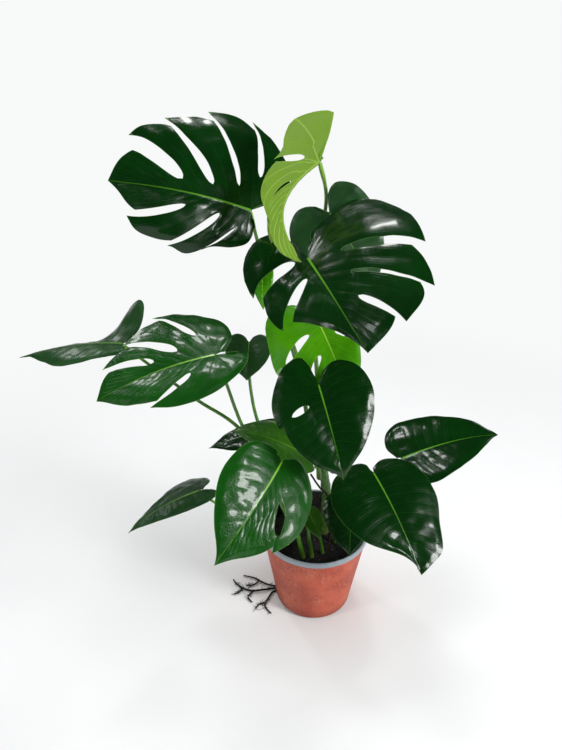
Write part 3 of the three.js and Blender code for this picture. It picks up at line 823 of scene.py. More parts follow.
    def build(self) -> bpy.types.Object:
        """Make the blade and fit it in place of its CAD node.

        Returns:
            The blade.
        """
        leaf = self.leaf
        self.add_half(1, leaf.right)
        self.add_half(-1, leaf.left)
        grid = np.array(self.rows)
        lines = self.vein_lines(grid)
        middle = leaf.bend(grid[:, :2])
        middle += face_normals(middle, self.faces) * self.relief(grid)[:, None]
        out = face_normals(middle, self.faces)
        vein, rib, rim = lines.T
        thin = SHEET / 2 * (0.45 + 0.55 * ease(0, 3, rim))
        ridge = np.exp(-rib ** 2) * (0.5 + 0.006 * leaf.length * (1 - grid[:, 0].clip(0, 1)))
        side_ridge = np.exp(-(vein / 0.9) ** 2) * 0.35 * (1 - 0.8 * grid[:, 3])
        top = middle + out * (thin + 0.3 * ridge - 0.4 * side_ridge)[:, None]
        bottom = middle - out * (thin + 1.1 * ridge + side_ridge)[:, None]
        count = len(middle)
        under = [tuple(n + count for n in face[::-1]) for face in self.faces]
        walls = [(b, a, a + count, b + count) for a, b in open_edges(self.faces)]
        tone = np.full(count, (math.sin(12.9 * self.number) + 1) / 2)
        flat = np.column_stack([grid[:, :2] * leaf.length * MM, tone])
        layers = {
            "blade_lines": np.vstack([lines, lines]),
            "blade_grid": np.tile(np.column_stack([grid[:, 2:4], tone]), (2, 1)),
            "blade_flat": np.vstack([flat, flat]),
            "blade_run": np.tile(grid[:, [0, 1, 4]], (2, 1)),
        }
        kinds = [0] * len(self.faces) + [1] * len(under) + [2] * len(walls)
        piece = make_mesh(
            f"blade_{leaf.name}", np.vstack([top, bottom]) * MM, self.faces + under + walls,
            FACES[leaf.finish.slot], kinds, layers,
        )
        fit_piece(piece, leaf.finish.slot, f"leaf_{leaf.name}")
        return piece


def face_normals(points: np.ndarray, faces: list[tuple[int, ...]]) -> np.ndarray:
    """Average the normals of the faces round each point.

    Args:
        points: the mesh's points.
        faces: its faces.

    Returns:
        A unit normal for each point.
    """
    total = np.zeros_like(points)
    for size in (3, 4):
        ring = np.array([face for face in faces if len(face) == size])
        if not len(ring):
            continue
        corners = points[ring]
        spokes = corners[:, 1:] - corners[:, :1]
        normal = np.cross(spokes[:, 0], spokes[:, 1])
        if size == 4:
            normal += np.cross(spokes[:, 1], spokes[:, 2])
        for corner in range(size):
            np.add.at(total, ring[:, corner], normal)
    return total / np.linalg.norm(total, axis=1, keepdims=True).clip(1e-12)


def open_edges(faces: list[tuple[int, ...]]) -> list[tuple[int, int]]:
    """List the directed edges that only one face has."""
    edges = {edge for face in faces for edge in zip(face, face[1:] + face[:1])}
    return [(a, b) for a, b in sorted(edges) if (b, a) not in edges]


LEAVES = (
    Leaf(
        "upper_left", DARK, junction=(-109, 60, 732), tip=(-298, 0, 783), roll=50,
        right=Half(
            outline=((-0.06, 0.05), (-0.21, 0.15), (-0.33, 0.27), (-0.36, 0.43), (-0.32, 0.6),
                     (-0.17, 0.76), (0, 0.83), (0.22, 0.79), (0.44, 0.68), (0.65, 0.55),
                     (0.83, 0.43), (0.93, 0.2), (1, 0)),
            splits=(
                Split(0, 0.414, (0.35, 1), 0.035, 0.3),
                Split(0.08, 0.572, (0.2, 1), 0.025, 0.5),
                Split(0.26, 0.727, (0.15, 1), 0.042, 0.4),
                Split(0.43, 0.862, (0.22, 1), 0.05, 1.5),
            ),
        ),
        left=Half(
            outline=((-0.03, 0.07), (-0.06, 0.15), (-0.03, 0.24), (0.08, 0.3), (0.24, 0.33),
                     (0.44, 0.42), (0.55, 0.38), (0.68, 0.36), (0.82, 0.3), (0.88, 0.18),
                     (0.93, 0.07), (1, 0)),
            splits=(
                Split(0.02, 0.39, (0.4, 0.95), 0.04),
                Split(0.18, 0.58, (0.2, 1), 0.032, 0.9),
                Split(0.38, 0.83, (0.3, 1), 0.022, 1.4),
            ),
            fold=-10, curl=-75,
        ),
        petiole=((-6, 12, 318), (-34, 46, 470), (-96, 68, 670)),
    ),
    Leaf(
        "upper_right", DARK, junction=(-27, -60, 693), tip=(36, -220, 629), roll=-30,
        right=Half(
            outline=((-0.12, 0.02), (-0.43, 0.06), (-0.68, 0.2), (-0.64, 0.35), (-0.42, 0.47),
                     (-0.12, 0.51), (0.12, 0.48), (0.35, 0.46), (0.53, 0.4), (0.62, 0.25),
                     (0.78, 0.09), (0.92, 0.02), (1, 0)),
            splits=(
                Split(0, 0.555, (0.2, 1), 0.07, 1.3),
                Split(0.2, 0.765, (0.2, 1), 0.035, 1.3),
            ),
            curl=-60,
        ),
        left=Half(
            outline=((-0.06, 0.04), (-0.22, 0.11), (-0.35, 0.2), (-0.41, 0.38), (-0.45, 0.57),
                     (-0.35, 0.7), (-0.15, 0.77), (0.1, 0.79), (0.34, 0.75), (0.5, 0.69),
                     (0.7, 0.63), (0.85, 0.53), (0.93, 0.35), (0.97, 0.14), (1, 0)),
            splits=(
                Split(0.08, 0.625, (0.3, 1), 0.045, 1),
                Split(0.24, 0.77, (0.3, 1), 0.018, 0.4),
                Split(0.36, 0.89, (0.4, 1), 0.028, 0.5),
            ),
        ),
        petiole=((10, 20, 316), (20, 44, 470), (14, 54, 590), (6, 28, 624), (-16, -8, 668)),
    ),
    Leaf(
        "mid_left", MID, junction=(-165, -20, 530), tip=(-329, -100, 495), roll=15,
        right=Half(
            outline=((-0.1, 0.03), (-0.24, 0.2), (-0.24, 0.46), (-0.02, 0.62), (0.25, 0.7),
                     (0.6, 0.48), (0.85, 0.27), (0.95, 0.08), (1, 0)),
            splits=(
                Split(0.04, 0.52, (0.35, 1), 0.035, 0.35),
                Split(0.18, 0.72, (0.25, 1), 0.05, 0.5),
                Split(0.36, 0.86, (0.3, 1), 0.045, 0.8),
            ),
        ),
        left=Half(
            outline=((-0.1, 0.02), (-0.26, 0.06), (-0.22, 0.16), (-0.05, 0.3), (0.2, 0.4),
                     (0.5, 0.4), (0.8, 0.22), (0.95, 0.05), (1, 0)),
            splits=(
                Split(0.12, 0.72, (0.35, 1), 0.035, 0.25),
            ),
            curl=-60,
        ),
        petiole=((-32, -16, 149), (-90, -6, 300), (-131, -2, 398), (-151, -4, 471)),
    ),
    Leaf(
        "lime_young", LIME, junction=(-3, -10, 574), tip=(39, -100, 494), roll=-20,
        right=Half(
            outline=((-0.15, 0.03), (-0.4, 0.15), (-0.45, 0.45), (-0.3, 0.6), (0, 0.67),
                     (0.43, 0.69), (0.75, 0.4), (0.94, 0.12), (1, 0)),
            splits=(
                Split(0, 0.64, (0.22, 0.8), 0.05),
                Split(0.24, 0.8, (0.3, 1), 0.04),
            ),
        ),
        left=Half(
            outline=((-0.1, 0.03), (-0.3, 0.2), (-0.2, 0.4), (0.2, 0.42), (0.58, 0.29), (0.8, 0.16),
                     (0.95, 0.05), (1, 0)),
            splits=(
                Split(0.1, 0.6, (0.3, 0.95), 0.04),
            ),
        ),
        petiole=((24, 2, 300), (20, 8, 430), (6, 6, 540)),
    ),
    Leaf(
        "centre_round", DARK, junction=(-11, -120, 532), tip=(21, -200, 432), roll=-15,
        right=Half(
            outline=((-0.12, 0.03), (-0.34, 0.1), (-0.3, 0.28), (-0.17, 0.41), (0.12, 0.54),
                     (0.45, 0.49), (0.78, 0.27), (0.93, 0.06), (1, 0)),
            splits=(
                Split(0.13, 0.58, (0.3, 0.66), 0.035),
            ),
        ),
        left=heart(1),
        petiole=((4, -10, 286), (-6, -34, 390), (-12, -96, 500)),
    ),
    Leaf(
        "front_left", MID, junction=(-62, -160, 432), tip=(-148, -280, 359), roll=45,
        right=Half(
            outline=((-0.02, 0.05), (-0.05, 0.16), (0.02, 0.3), (0.16, 0.38), (0.42, 0.39),
                     (0.72, 0.23), (0.92, 0.04), (1, 0)),
        ),
        left=Half(
            outline=((-0.06, 0.03), (-0.12, 0.14), (-0.05, 0.28), (0.12, 0.41), (0.4, 0.44),
                     (0.68, 0.32), (0.9, 0.08), (1, 0)),
            splits=(
                Split(0.05, 0.7, (0.38, 0.84), 0.05),
            ),
        ),
        petiole=((-24, -60, 149), (-42, -84, 270), (-57, -122, 390)),
    ),
    Leaf(
        "front_right", DARK, junction=(81, -100, 365), tip=(138, -220, 277), roll=-5,
        right=Half(
            outline=((-0.04, 0.02), (-0.13, 0.05), (-0.14, 0.2), (-0.06, 0.42), (0.14, 0.53),
                     (0.36, 0.51), (0.58, 0.39), (0.8, 0.1), (0.9, 0.02), (1, 0)),
        ),
        left=Half(
            outline=((-0.06, 0.02), (-0.11, 0.14), (-0.04, 0.34), (0.1, 0.44), (0.4, 0.47),
                     (0.64, 0.38), (0.88, 0.27), (0.95, 0.12), (1, 0)),
        ),
        petiole=((50, -6, 149), (58, -12, 240), (76, -62, 335)),
    ),
    Leaf(
        "right_low", DARK, junction=(144, -20, 336), tip=(325, 40, 344), roll=-10,
        right=Half(
            outline=((-0.04, 0.03), (-0.1, 0.14), (-0.06, 0.27), (0.1, 0.36), (0.25, 0.35),
                     (0.55, 0.24), (0.78, 0.11), (0.93, 0.02), (1, 0)),
        ),
        left=Half(
            outline=((-0.04, 0.03), (-0.08, 0.16), (-0.02, 0.3), (0.13, 0.39), (0.4, 0.38),
                     (0.64, 0.28), (0.86, 0.18), (0.95, 0.08), (1, 0)),
        ),
        petiole=((58, 12, 149), (84, 4, 240), (124, -14, 305)),
    ),
    Leaf(
        "far_left", BACK, junction=(-324, 40, 522), tip=(-496, 40, 495), roll=5,
        right=Half(
            outline=((-0.05, 0.03), (-0.14, 0.2), (-0.13, 0.48), (0.03, 0.6), (0.24, 0.57),
                     (0.38, 0.4), (0.6, 0.26), (0.9, 0.1), (1, 0)),
            fold=-25, curl=0, lift=62,
        ),
        left=Half(
            outline=((-0.04, 0.04), (-0.05, 0.16), (0.12, 0.26), (0.35, 0.36), (0.5, 0.36),
                     (0.68, 0.22), (0.88, 0.05), (1, 0)),
            curl=-60,
        ),
        petiole=((-38, 6, 149), (-82, 8, 300), (-143, 14, 383), (-205, 26, 423), (-285, 40, 485)),
    ),
    Leaf(
        "back_centre", BACK, junction=(-118, 80, 505), tip=(-121, 42, 452), roll=0,
        right=heart(1.15, fold=20),
        left=heart(1.15, fold=20),
        petiole=((-24, 26, 149), (-62, 22, 270), (-107, 34, 389), (-119, 66, 470)),
    ),
    Leaf(
        "olive_centre", OLIVE, junction=(-32, -40, 363), tip=(-140, -40, 405), roll=0,
        right=heart(1.1),
        left=heart(0.9),
        petiole=((-8, -60, 149), (-20, -44, 250), (-24, -41, 330)),
    ),
    Leaf(
        "back_left", DARK, junction=(-74, 90, 318), tip=(-199, 80, 285), roll=5,
        right=heart(0.55),
        left=heart(0.7),
        petiole=((-26, 52, 149), (-36, 68, 230), (-62, 88, 292)),
    ),
    Leaf(
        "low_left", BACK, junction=(-200, -60, 299), tip=(-316, -100, 244), roll=-20,
        right=Half(
            outline=((-0.05, 0.02), (-0.15, 0.2), (-0.08, 0.42), (0.1, 0.54), (0.3, 0.45),
                     (0.55, 0.25), (0.9, 0.05), (1, 0)),
        ),
        left=heart(0.35, fold=-48, curl=-50),
        petiole=((-50, -28, 149), (-90, -36, 190), (-175, -48, 262)),
    ),
    Leaf(
        "top_young", PALE, junction=(-9, 50, 800), tip=(-35, -85, 696), roll=-88,
        arch=0.22,
        right=Half(
            outline=((-0.01, 0.09), (-0.1, 0.14), (-0.1, 0.19), (-0.01, 0.17), (0.1, 0.07),
                     (0.3, 0.03), (0.45, 0.03), (0.65, 0.07), (0.85, 0.08), (0.95, 0.05), (1, 0)),
            fold=45, curl=8,
        ),
        left=Half(
            outline=((-0.05, 0.08), (-0.18, 0.18), (-0.28, 0.27), (-0.2, 0.34), (-0.1, 0.38),
                     (0, 0.39), (0.08, 0.33), (0.14, 0.26), (0.28, 0.25), (0.45, 0.22),
                     (0.62, 0.15), (0.7, 0.12), (0.8, 0.15), (0.93, 0.15), (1, 0)),
            splits=(
                Split(0, 0.5, (0.35, 1), 0.04, 0.7),
                Split(0.16, 0.79, (0.17, 1), 0.055, 0.4),
            ),
            fold=60, curl=0,
        ),
        petiole=((6, 5, 352), (-4, 26, 480), (-14, 50, 620), (4, 60, 750)),
    ),
    Leaf(
        "young_hanging", LIME, junction=(-92, 25, 655), tip=(-90, 0, 596), roll=0,
        right=heart(0.5),
        left=heart(0.5),
        petiole=((2, 20, 286), (-14, 40, 420), (-62, 34, 575), (-82, 34, 625)),
    ),
    Leaf(
        "upper_back", BACK, junction=(9, 43, 731), tip=(88, 39, 620), roll=-80,
        right=heart(1),
        left=heart(0.8),
        petiole=((30, 14, 280), (42, 44, 460), (44, 64, 600), (24, 62, 690)),
    ),
    Leaf(
        "inner_right", DARK, junction=(56, -48, 262), tip=(52, -106, 198), roll=0,
        right=heart(1),
        left=heart(0.9),
        petiole=((36, -22, 149), (44, -28, 200), (53, -38, 238)),
    ),
    Leaf(
        "inner_small", OLIVE, junction=(-16, -66, 256), tip=(2, -98, 228), roll=0,
        right=heart(0.75),
        left=heart(0.75),
        petiole=((12, -50, 149), (4, -58, 200), (-10, -60, 238)),
    ),
)


# ---- stalks, stem and roots ----------------------------------------------------------------


@dataclass
class Tube:
    """A closed tube along a smooth line, in millimetres, whose section changes on the way."""

    path: Sequence[Point]
    radius: Callable[[np.ndarray], np.ndarray]
    sides: int = 14
    steps: int = 60
    groove: float = 0.0
    rough: float = 0.0
    seed: int = 0

    def build(self, start: int = 0) -> tuple[np.ndarray, list[tuple[int, ...]], np.ndarray]:
        """Make the tube's points, faces and tube_run layer.

        Args:
            start: the number of the first point.

        Returns:
            The points, the faces, and for each point its share along, turn and run.
        """
        line = smooth_line(self.path, self.steps)
        share = np.linspace(0, 1, self.steps + 1)
        tangent = np.gradient(line, axis=0)
        tangent /= np.linalg.norm(tangent, axis=1, keepdims=True)
        side = [Vector(tangent[0]).orthogonal().normalized()]
        for step in tangent[1:]:
            side.append((side[-1] - Vector(step) * side[-1].dot(Vector(step))).normalized())
        side = np.array([list(v) for v in side])
        other = np.cross(tangent, side)
        turn = np.arange(self.sides) / self.sides
        angle = 2 * math.pi * turn[None, :, None]
        shape = 1 - self.groove * np.exp(-((turn - 0.5) / 0.09) ** 2)[None, :]
        radius = self.radius(share)[:, None] * shape
        run = share * np.linalg.norm(np.diff(line, axis=0), axis=1).sum()
        if self.rough:
            grit = [[noise.noise(Vector((
                3 * math.cos(ROUND * t), 3 * math.sin(ROUND * t), 0.25 * r + self.seed,
            ))) for t in turn] for r in run]
            radius = radius * (1 + self.rough * np.array(grit))
        ring = np.cos(angle) * side[:, None, :] + np.sin(angle) * other[:, None, :]
        points = (line[:, None, :] + radius[..., None] * ring).reshape(-1, 3)
        tags = np.stack(np.broadcast_arrays(share[:, None], turn[None, :], run[:, None]), -1).reshape(-1, 3)
        n = self.sides
        faces = [(i * n + j, i * n + (j + 1) % n, (i + 1) * n + (j + 1) % n, (i + 1) * n + j)
                 for i in range(self.steps) for j in range(n)]
        faces.append(tuple(range(n - 1, -1, -1)))
        faces.append(tuple(range(self.steps * n, (self.steps + 1) * n)))
        return points, [tuple(k + start for k in face) for face in faces], tags


def tube_piece(name: str, tubes: Sequence[Tube], material: bpy.types.Material) -> bpy.types.Object:
    """Make one piece of one or more tubes.

    Args:
        name: the piece's name.
        tubes: its tubes.
        material: its skin.

    Returns:
        The piece, not yet fitted.
    """
    points: list[np.ndarray] = []
    faces: list[tuple[int, ...]] = []
    tags: list[np.ndarray] = []
    for tube in tubes:
        made = tube.build(sum(len(p) for p in points))
        points.append(made[0])
        faces += made[1]
        tags.append(made[2])
    return make_mesh(name, np.vstack(points) * MM, faces, [material], layers={"tube_run": np.vstack(tags)})


def taper(*radii: float) -> Callable[[np.ndarray], np.ndarray]:
    """Read radii that change evenly along a tube."""
    return lambda share: np.interp(share, np.linspace(0, 1, len(radii)), radii)


@dataclass(frozen=True)
class Stalk:
    """A leaf's stalk: a wide foot, a grooved shank and a swollen wrinkled neck below the blade."""

    leaf: Leaf
    foot: float = 5.2
    shank: float = 3.6
    neck: float = 2.6
    neck_length: float = 26

    def radius(self, share: np.ndarray) -> np.ndarray:
        """Give the stalk's radius along its length."""
        run = math.dist(self.leaf.petiole[0], self.leaf.junction)
        size = min(1.0, 0.55 + run / 700)
        bare = np.interp(share, [0, 0.12, 0.3, 1], [self.foot, self.shank * 1.15, self.shank, self.neck])
        swell = np.exp(-(((1 - share) * run - self.neck_length / 2) / (self.neck_length / 2)) ** 4)
        wrinkle = 1 + 0.03 * np.sin((1 - share) * run * 2.2)
        return size * bare * (1 + 0.28 * swell * wrinkle)

    def build(self, skin: bpy.types.Material) -> bpy.types.Object:
        """Make the stalk and fit it in place of its CAD node."""
        _, _, up = self.leaf.axes()
        end = np.array(self.leaf.junction) - up * (SHEET / 2 + self.neck * 0.4)
        tube = Tube([*self.leaf.petiole, tuple(end)], self.radius, groove=0.16, steps=90)
        piece = tube_piece(f"stalk_{self.leaf.name}", [tube], skin)
        fit_piece(piece, "petiole", f"petiole_{self.leaf.name}")
        return piece


@dataclass(frozen=True)
class Stem:
    """The short climbing stem, ringed where stalks leave it."""

    path: Sequence[Point] = ((18, 8, 147), (21, 6, 220), (13, 4, 290), (6, 4, 350))
    radii: Sequence[float] = (10, 9, 8, 5)
    rings: Sequence[float] = (0.12, 0.33, 0.55, 0.78, 0.92)

    def radius(self, share: np.ndarray) -> np.ndarray:
        """Give the stem's radius, which swells at each ring."""
        swell = sum(np.exp(-((share - ring) / 0.022) ** 2) for ring in self.rings)
        return taper(*self.radii)(share) * (1 + 0.1 * swell)

    def build(self) -> bpy.types.Object:
        """Make the stem and fit it in place of its CAD node."""
        tube = Tube(self.path, self.radius, sides=28, steps=120, rough=0.05, seed=3)
        piece = tube_piece("climbing_stem", [tube], STEM_SKIN.material())
        fit_piece(piece, "stem", "stem")
        return piece


@dataclass(frozen=True)
class Strand:
    """One root, as its route and its radii from end to end."""

    path: Sequence[Point]
    radii: Sequence[float]


@dataclass(frozen=True)
class Root:
    """A branching root with fine side hairs."""

    name: str
    strands: Sequence[Strand]
    hairs: int = 22
    seed: int = 1

    def build(self, skin: bpy.types.Material) -> bpy.types.Object:
        """Make the root and fit it in place of its CAD node."""
        tubes = [Tube(s.path, taper(*s.radii), sides=10, steps=50, rough=0.22, seed=self.seed + i)
                 for i, s in enumerate(self.strands)]
        rng = np.random.default_rng(self.seed)
        floor = min(p[2] for s in self.strands for p in s.path)
        for tube in list(tubes):
            line = smooth_line(tube.path, 40)
            for _ in range(self.hairs):
                at = line[rng.integers(6, 40)]
                reach = rng.normal(size=3) * (5, 5, 2)
                tip = at + reach
                tip[2] = max(tip[2], floor - 1.6)
                middle = (at + tip) / 2 + rng.normal(size=3) * (1.2, 1.2, 0.4)
                middle[2] = max(middle[2], floor - 1.4)
                tubes.append(Tube([at, middle, tip], taper(0.5, 0.2), sides=5, steps=8))
        piece = tube_piece(f"{self.name}_strands", tubes, skin)
        fit_piece(piece, "root", self.name)
        return piece


ROOTS = (
    Root("aerial_root", (
        Strand(
            ((-12, -22, 304), (4, -28, 280), (18, -28, 262), (26, -30, 200), (24, -28, 150)),
            (1.6, 2.2, 1.8),
        ),
        Strand(((12, -28, 271), (2, -30, 260), (-6, -32, 256)), (1.4, 0.8)),
    ), hairs=6, seed=5),
    Root("drain_root_back", (
        Strand(
            ((-68, 4.7, 2.4), (-80, 6, 2.8), (-98, 12, 4), (-118, 26, 3), (-140, 32, 2.6)),
            (1.8, 1.7, 1.2),
        ),
        Strand(((-108, 18, 3.6), (-118, 8, 3), (-134, 7, 2.6)), (1.5, 1.1)),
    ), seed=11),
    Root("drain_root_middle", (
        Strand(
            ((-68, 0, 2.4), (-82, -1, 2.8), (-100, -6, 4.5), (-126, -6, 3), (-152, 10, 2.8), (-160, 22, 2.4)),
            (1.9, 2, 1.3),
        ),
        Strand(((-118, -7, 3.4), (-128, -22, 2.8), (-120, -34, 2.4)), (1.6, 1.1)),
        Strand(((-140, 2, 3), (-146, -10, 2.6), (-156, -14, 2.2)), (1.5, 1)),
    ), seed=17),
    Root("drain_root_front", (
        Strand(
            ((-68, -4.7, 2.4), (-79, -9, 2.8), (-88, -26, 3.8), (-94, -44, 3), (-82, -60, 2.4)),
            (1.8, 1.7, 1.2),
        ),
        Strand(((-92, -36, 3.4), (-106, -40, 2.8), (-112, -50, 2.4)), (1.5, 1)),
    ), seed=23),
)


# ---- pot and soil --------------------------------------------------------------------------


@dataclass(frozen=True)
class Pot:
    """The nursery pot: a thin tapered wall with a rolled rim, a round foot and drain slots."""

    finish: PotFinish = PotFinish()
    rim_height: float = 11
    rim_step: float = 3.4
    wall: float = 1.8
    base_radius: float = 73
    base_flat: float = 63
    base_round: float = 9
    floor: float = 2.2
    drains: int = 8
    drain_width: float = 14
    drain_height: float = 5
    sides: int = 192

    @property
    def size(self) -> tuple[float, float]:
        """The rim's radius and the pot's height, from its CAD node."""
        low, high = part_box("pot")
        return (high[0] - low[0]) / 2 / MM, (high[2] - low[2]) / MM

    def wall_radius(self, z: float) -> float:
        """Give the wall's outer radius at a height."""
        rim, height = self.size
        share = (z - self.base_round) / (height - self.rim_height - self.base_round)
        return self.base_radius + share * (rim - self.rim_step - self.base_radius)

    def profile(self) -> list[tuple[float, float, PotPart]]:
        """List the turned profile from the underside's middle, up outside and down inside."""
        rim, height = self.size
        neck = height - self.rim_height
        wall, outside, inside = PotPart.WALL, [], []
        for angle in np.radians(np.linspace(-90, 0, 9)):
            r = self.base_radius - self.base_round + self.base_round * math.cos(angle)
            outside.append((r, self.base_round + self.base_round * math.sin(angle), wall))
        outside += [(self.wall_radius(z), z, wall) for z in np.linspace(self.base_round, neck, 14)[1:]]
        edge = [
            (rim - 1.4, neck + 0.2), (rim - 0.5, neck + 0.9), (rim - 0.2, neck + 2.2), (rim - 0.1, neck + 6),
        ]
        for angle in np.radians(np.linspace(0, 180, 11)):
            edge.append((rim - 2 + 2 * math.cos(angle), height - 2 + 2 * math.sin(angle)))
        rolled = [(r, z, PotPart.RIM) for r, z in edge]
        for z in np.linspace(height - 4, self.base_round, 12):
            inside.append((self.wall_radius(min(z, neck)) - self.wall, z, PotPart.INSIDE))
        inside += [(self.base_flat, self.floor, PotPart.INSIDE), (0, self.floor, PotPart.INSIDE)]
        return [(0, 0, wall), *outside, *rolled, *inside]

    def build(self) -> bpy.types.Object:
        """Turn the pot, cut its drains and fit it in place of its CAD node."""
        profile = self.profile()
        turn = np.linspace(0, 2 * math.pi, self.sides, endpoint=False)
        points, faces, kinds, rings = [], [], [], []
        for r, z, _ in profile:
            if r == 0:
                rings.append([len(points)] * self.sides)
                points.append((0, 0, z))
                continue
            rings.append(list(range(len(points), len(points) + self.sides)))
            for angle in turn:
                place = Vector((2 * math.cos(angle), 2 * math.sin(angle), z / 40))
                r_here = r + 0.45 * noise.noise(place) * min(1, z / 20)
                points.append((r_here * math.cos(angle), r_here * math.sin(angle), z))
        for low, high, (_, _, part) in zip(rings, rings[1:], profile[1:]):
            for i in range(self.sides):
                ring = [low[i], low[(i + 1) % self.sides], high[(i + 1) % self.sides], high[i]]
                faces.append(tuple(dict.fromkeys(ring)))
                kinds.append(part.value)
        skins = self.finish.materials()
        pot = make_mesh("nursery_pot", np.array(points) * MM, faces, skins, kinds, crease=35)
        self.cut_drains(pot)
        fit_piece(pot, "pot", "pot")
        return pot

    def cut_drains(self, pot: bpy.types.Object) -> None:
        """Cut a slot through the foot at each drain."""
        cutters = []
        for i in range(self.drains):
            turn = 2 * math.pi * i / self.drains
            size = Vector((18, self.drain_width, self.drain_height * 2)) * MM
            corners = [Vector((x, y, z)) * 0.5 for x in (-1, 1) for y in (-1, 1) for z in (-1, 1)]
            box = [Vector((c.x * size.x + 75 * MM, c.y * size.y, c.z * size.z)) for c in corners]
            cutters.append([(v.x * math.cos(turn) - v.y * math.sin(turn),
                             v.x * math.sin(turn) + v.y * math.cos(turn), v.z) for v in box])
        sides = [(0, 1, 3, 2), (4, 6, 7, 5), (0, 4, 5, 1), (2, 3, 7, 6), (0, 2, 6, 4), (1, 5, 7, 3)]
        faces = [tuple(8 * n + k for k in side) for n in range(len(cutters)) for side in sides]
        mesh = bpy.data.meshes.new("drain_cutters")
        mesh.from_pydata([v for box in cutters for v in box], [], faces)
        tool = bpy.data.objects.new("drain_cutters", mesh)
        bpy.context.collection.objects.link(tool)
        cut = pot.modifiers.new("drains", "BOOLEAN")
        cut.object, cut.operation, cut.solver = tool, "DIFFERENCE", "EXACT"
        shaped = bpy.data.meshes.new_from_object(pot.evaluated_get(bpy.context.evaluated_depsgraph_get()))
        pot.modifiers.clear()
        pot.data = shaped
        bpy.data.objects.remove(tool)


@dataclass(frozen=True)
class Soil:
    """Damp potting mix: a lumpy top on a body that fills the pot, with crumbs lying on it."""

    rings: int = 46
    sides: int = 120
    lump: float = 2.2
    crumbs: int = 420
    specks: int = 150
    seed: int = 7

    def level(self, x: float, y: float, rim: float, top: float) -> float:
        """Give the soil's height at a place, in millimetres."""
        r = math.hypot(x, y)
        dome = top - 1 - 4 * (r / rim) ** 2
        coarse = noise.noise(Vector((x / 16, y / 16, 1)))
        fine = noise.fractal(Vector((x / 5, y / 5, 4)), 0.6, 2.2, 4)
        return dome + self.lump * (0.9 * coarse + 0.5 * fine) * (1 - 0.6 * (r / rim) ** 8)

    def build(self) -> list[bpy.types.Object]:
        """Make the soil, its crumbs and its pale specks.

        Returns:
            The three pieces.
        """
        low, high = (np.array(corner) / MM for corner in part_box("soil"))
        rim, top = (high[0] - low[0]) / 2, high[2]
        turn = np.linspace(0, 2 * math.pi, self.sides, endpoint=False)
        points, rings = [(0, 0, self.level(0, 0, rim, top))], []
        for k in range(1, self.rings + 1):
            r = rim * k / self.rings
            rings.append(range(len(points), len(points) + self.sides))
            for a in turn:
                x, y = r * math.cos(a), r * math.sin(a)
                points.append((x, y, self.level(x, y, rim, top)))
        for r, z in ((rim - 18, 11), (58, low[2]), (20, low[2])):
            rings.append(range(len(points), len(points) + self.sides))
            points += [(r * math.cos(a), r * math.sin(a), z) for a in turn]
        n = self.sides
        faces = [(0, rings[0][i], rings[0][(i + 1) % n]) for i in range(n)]
        for a, b in zip(rings, rings[1:]):
            faces += [(a[i], b[i], b[(i + 1) % n], a[(i + 1) % n]) for i in range(n)]
        faces.append(tuple(rings[-1]))
        mix = crumb_material("potting_mix", "070504", "1c130d", 260)
        soil = make_mesh("potting_mix", np.array(points) * MM, faces, [mix], crease=80)
        fit_piece(soil, "soil", "soil")
        bark = crumb_material("bark", "140c07", "3a2414", 400, 0.85)
        perlite = crumb_material("perlite", "8f8b80", "d0ccc2", 500, 0.8)
        return [
            soil,
            self.scatter("soil_crumbs", self.crumbs, (0.7, 2.2), bark, rim, top, self.seed),
            self.scatter("perlite_specks", self.specks, (0.35, 0.9), perlite, rim, top, self.seed + 1),
        ]

    def scatter(
        self, name: str, count: int, sizes: tuple[float, float], material: bpy.types.Material,
        rim: float, top: float, seed: int,
    ) -> bpy.types.Object:
        """Lay small uneven chips on the soil.

        Args:
            name: the piece's name.
            count: how many chips.
            sizes: the smallest and largest radius.
            material: their material.
            rim: the soil's radius.
            top: the soil's highest level.
            seed: what draws their places.

        Returns:
            The piece.
        """
        rng = np.random.default_rng(seed)
        chip = np.array([(1, 0, 0), (0, 1, 0), (-1, 0, 0), (0, -1, 0), (0, 0, 1), (0, 0, -1)], float)
        sides = [(0, 1, 4), (1, 2, 4), (2, 3, 4), (3, 0, 4), (1, 0, 5), (2, 1, 5), (3, 2, 5), (0, 3, 5)]
        points, faces = [], []
        for i in range(count):
            r, a = (rim - 5) * math.sqrt(rng.random()), 2 * math.pi * rng.random()
            x, y = r * math.cos(a), r * math.sin(a)
            size = rng.uniform(*sizes) * rng.uniform(0.6, 1.3, (6, 1)) * (1, 0.8, 0.55)
            spin = rng.uniform(0, 2 * math.pi)
            cosine, sine = math.cos(spin), math.sin(spin)
            shape = chip * size @ np.array([[cosine, -sine, 0], [sine, cosine, 0], [0, 0, 1]])
            points.append(shape + (x, y, self.level(x, y, rim, top) + 0.3 * sizes[0]))
            faces += [tuple(6 * i + k for k in side) for side in sides]
        piece = make_mesh(name, np.vstack(points) * MM, faces, [material], crease=30)
        fit_piece(piece, "soil")
        return piece


# ---- floor, light and camera ---------------------------------------------------------------


@dataclass(frozen=True)
class Softbox:
    """A square soft light, placed in metres and turned to face the plant."""

    name: str
    place: Point
    size: tuple[float, float]
    power: float
    mirrored: bool = True
    aim: Point = (-0.06, 0.0, 0.45)

    def hang(self) -> None:
        """Add the light to the scene."""
        light = bpy.data.lights.new(self.name, "AREA")
        light.shape = "RECTANGLE"
        light.size, light.size_y = self.size
        light.energy = self.power
        held = bpy.data.objects.new(self.name, light)
        held.location = self.place
        held.rotation_euler = (Vector(self.aim) - Vector(self.place)).to_track_quat("-Z", "Y").to_euler()
        held.visible_glossy = self.mirrored
        bpy.context.collection.objects.link(held)


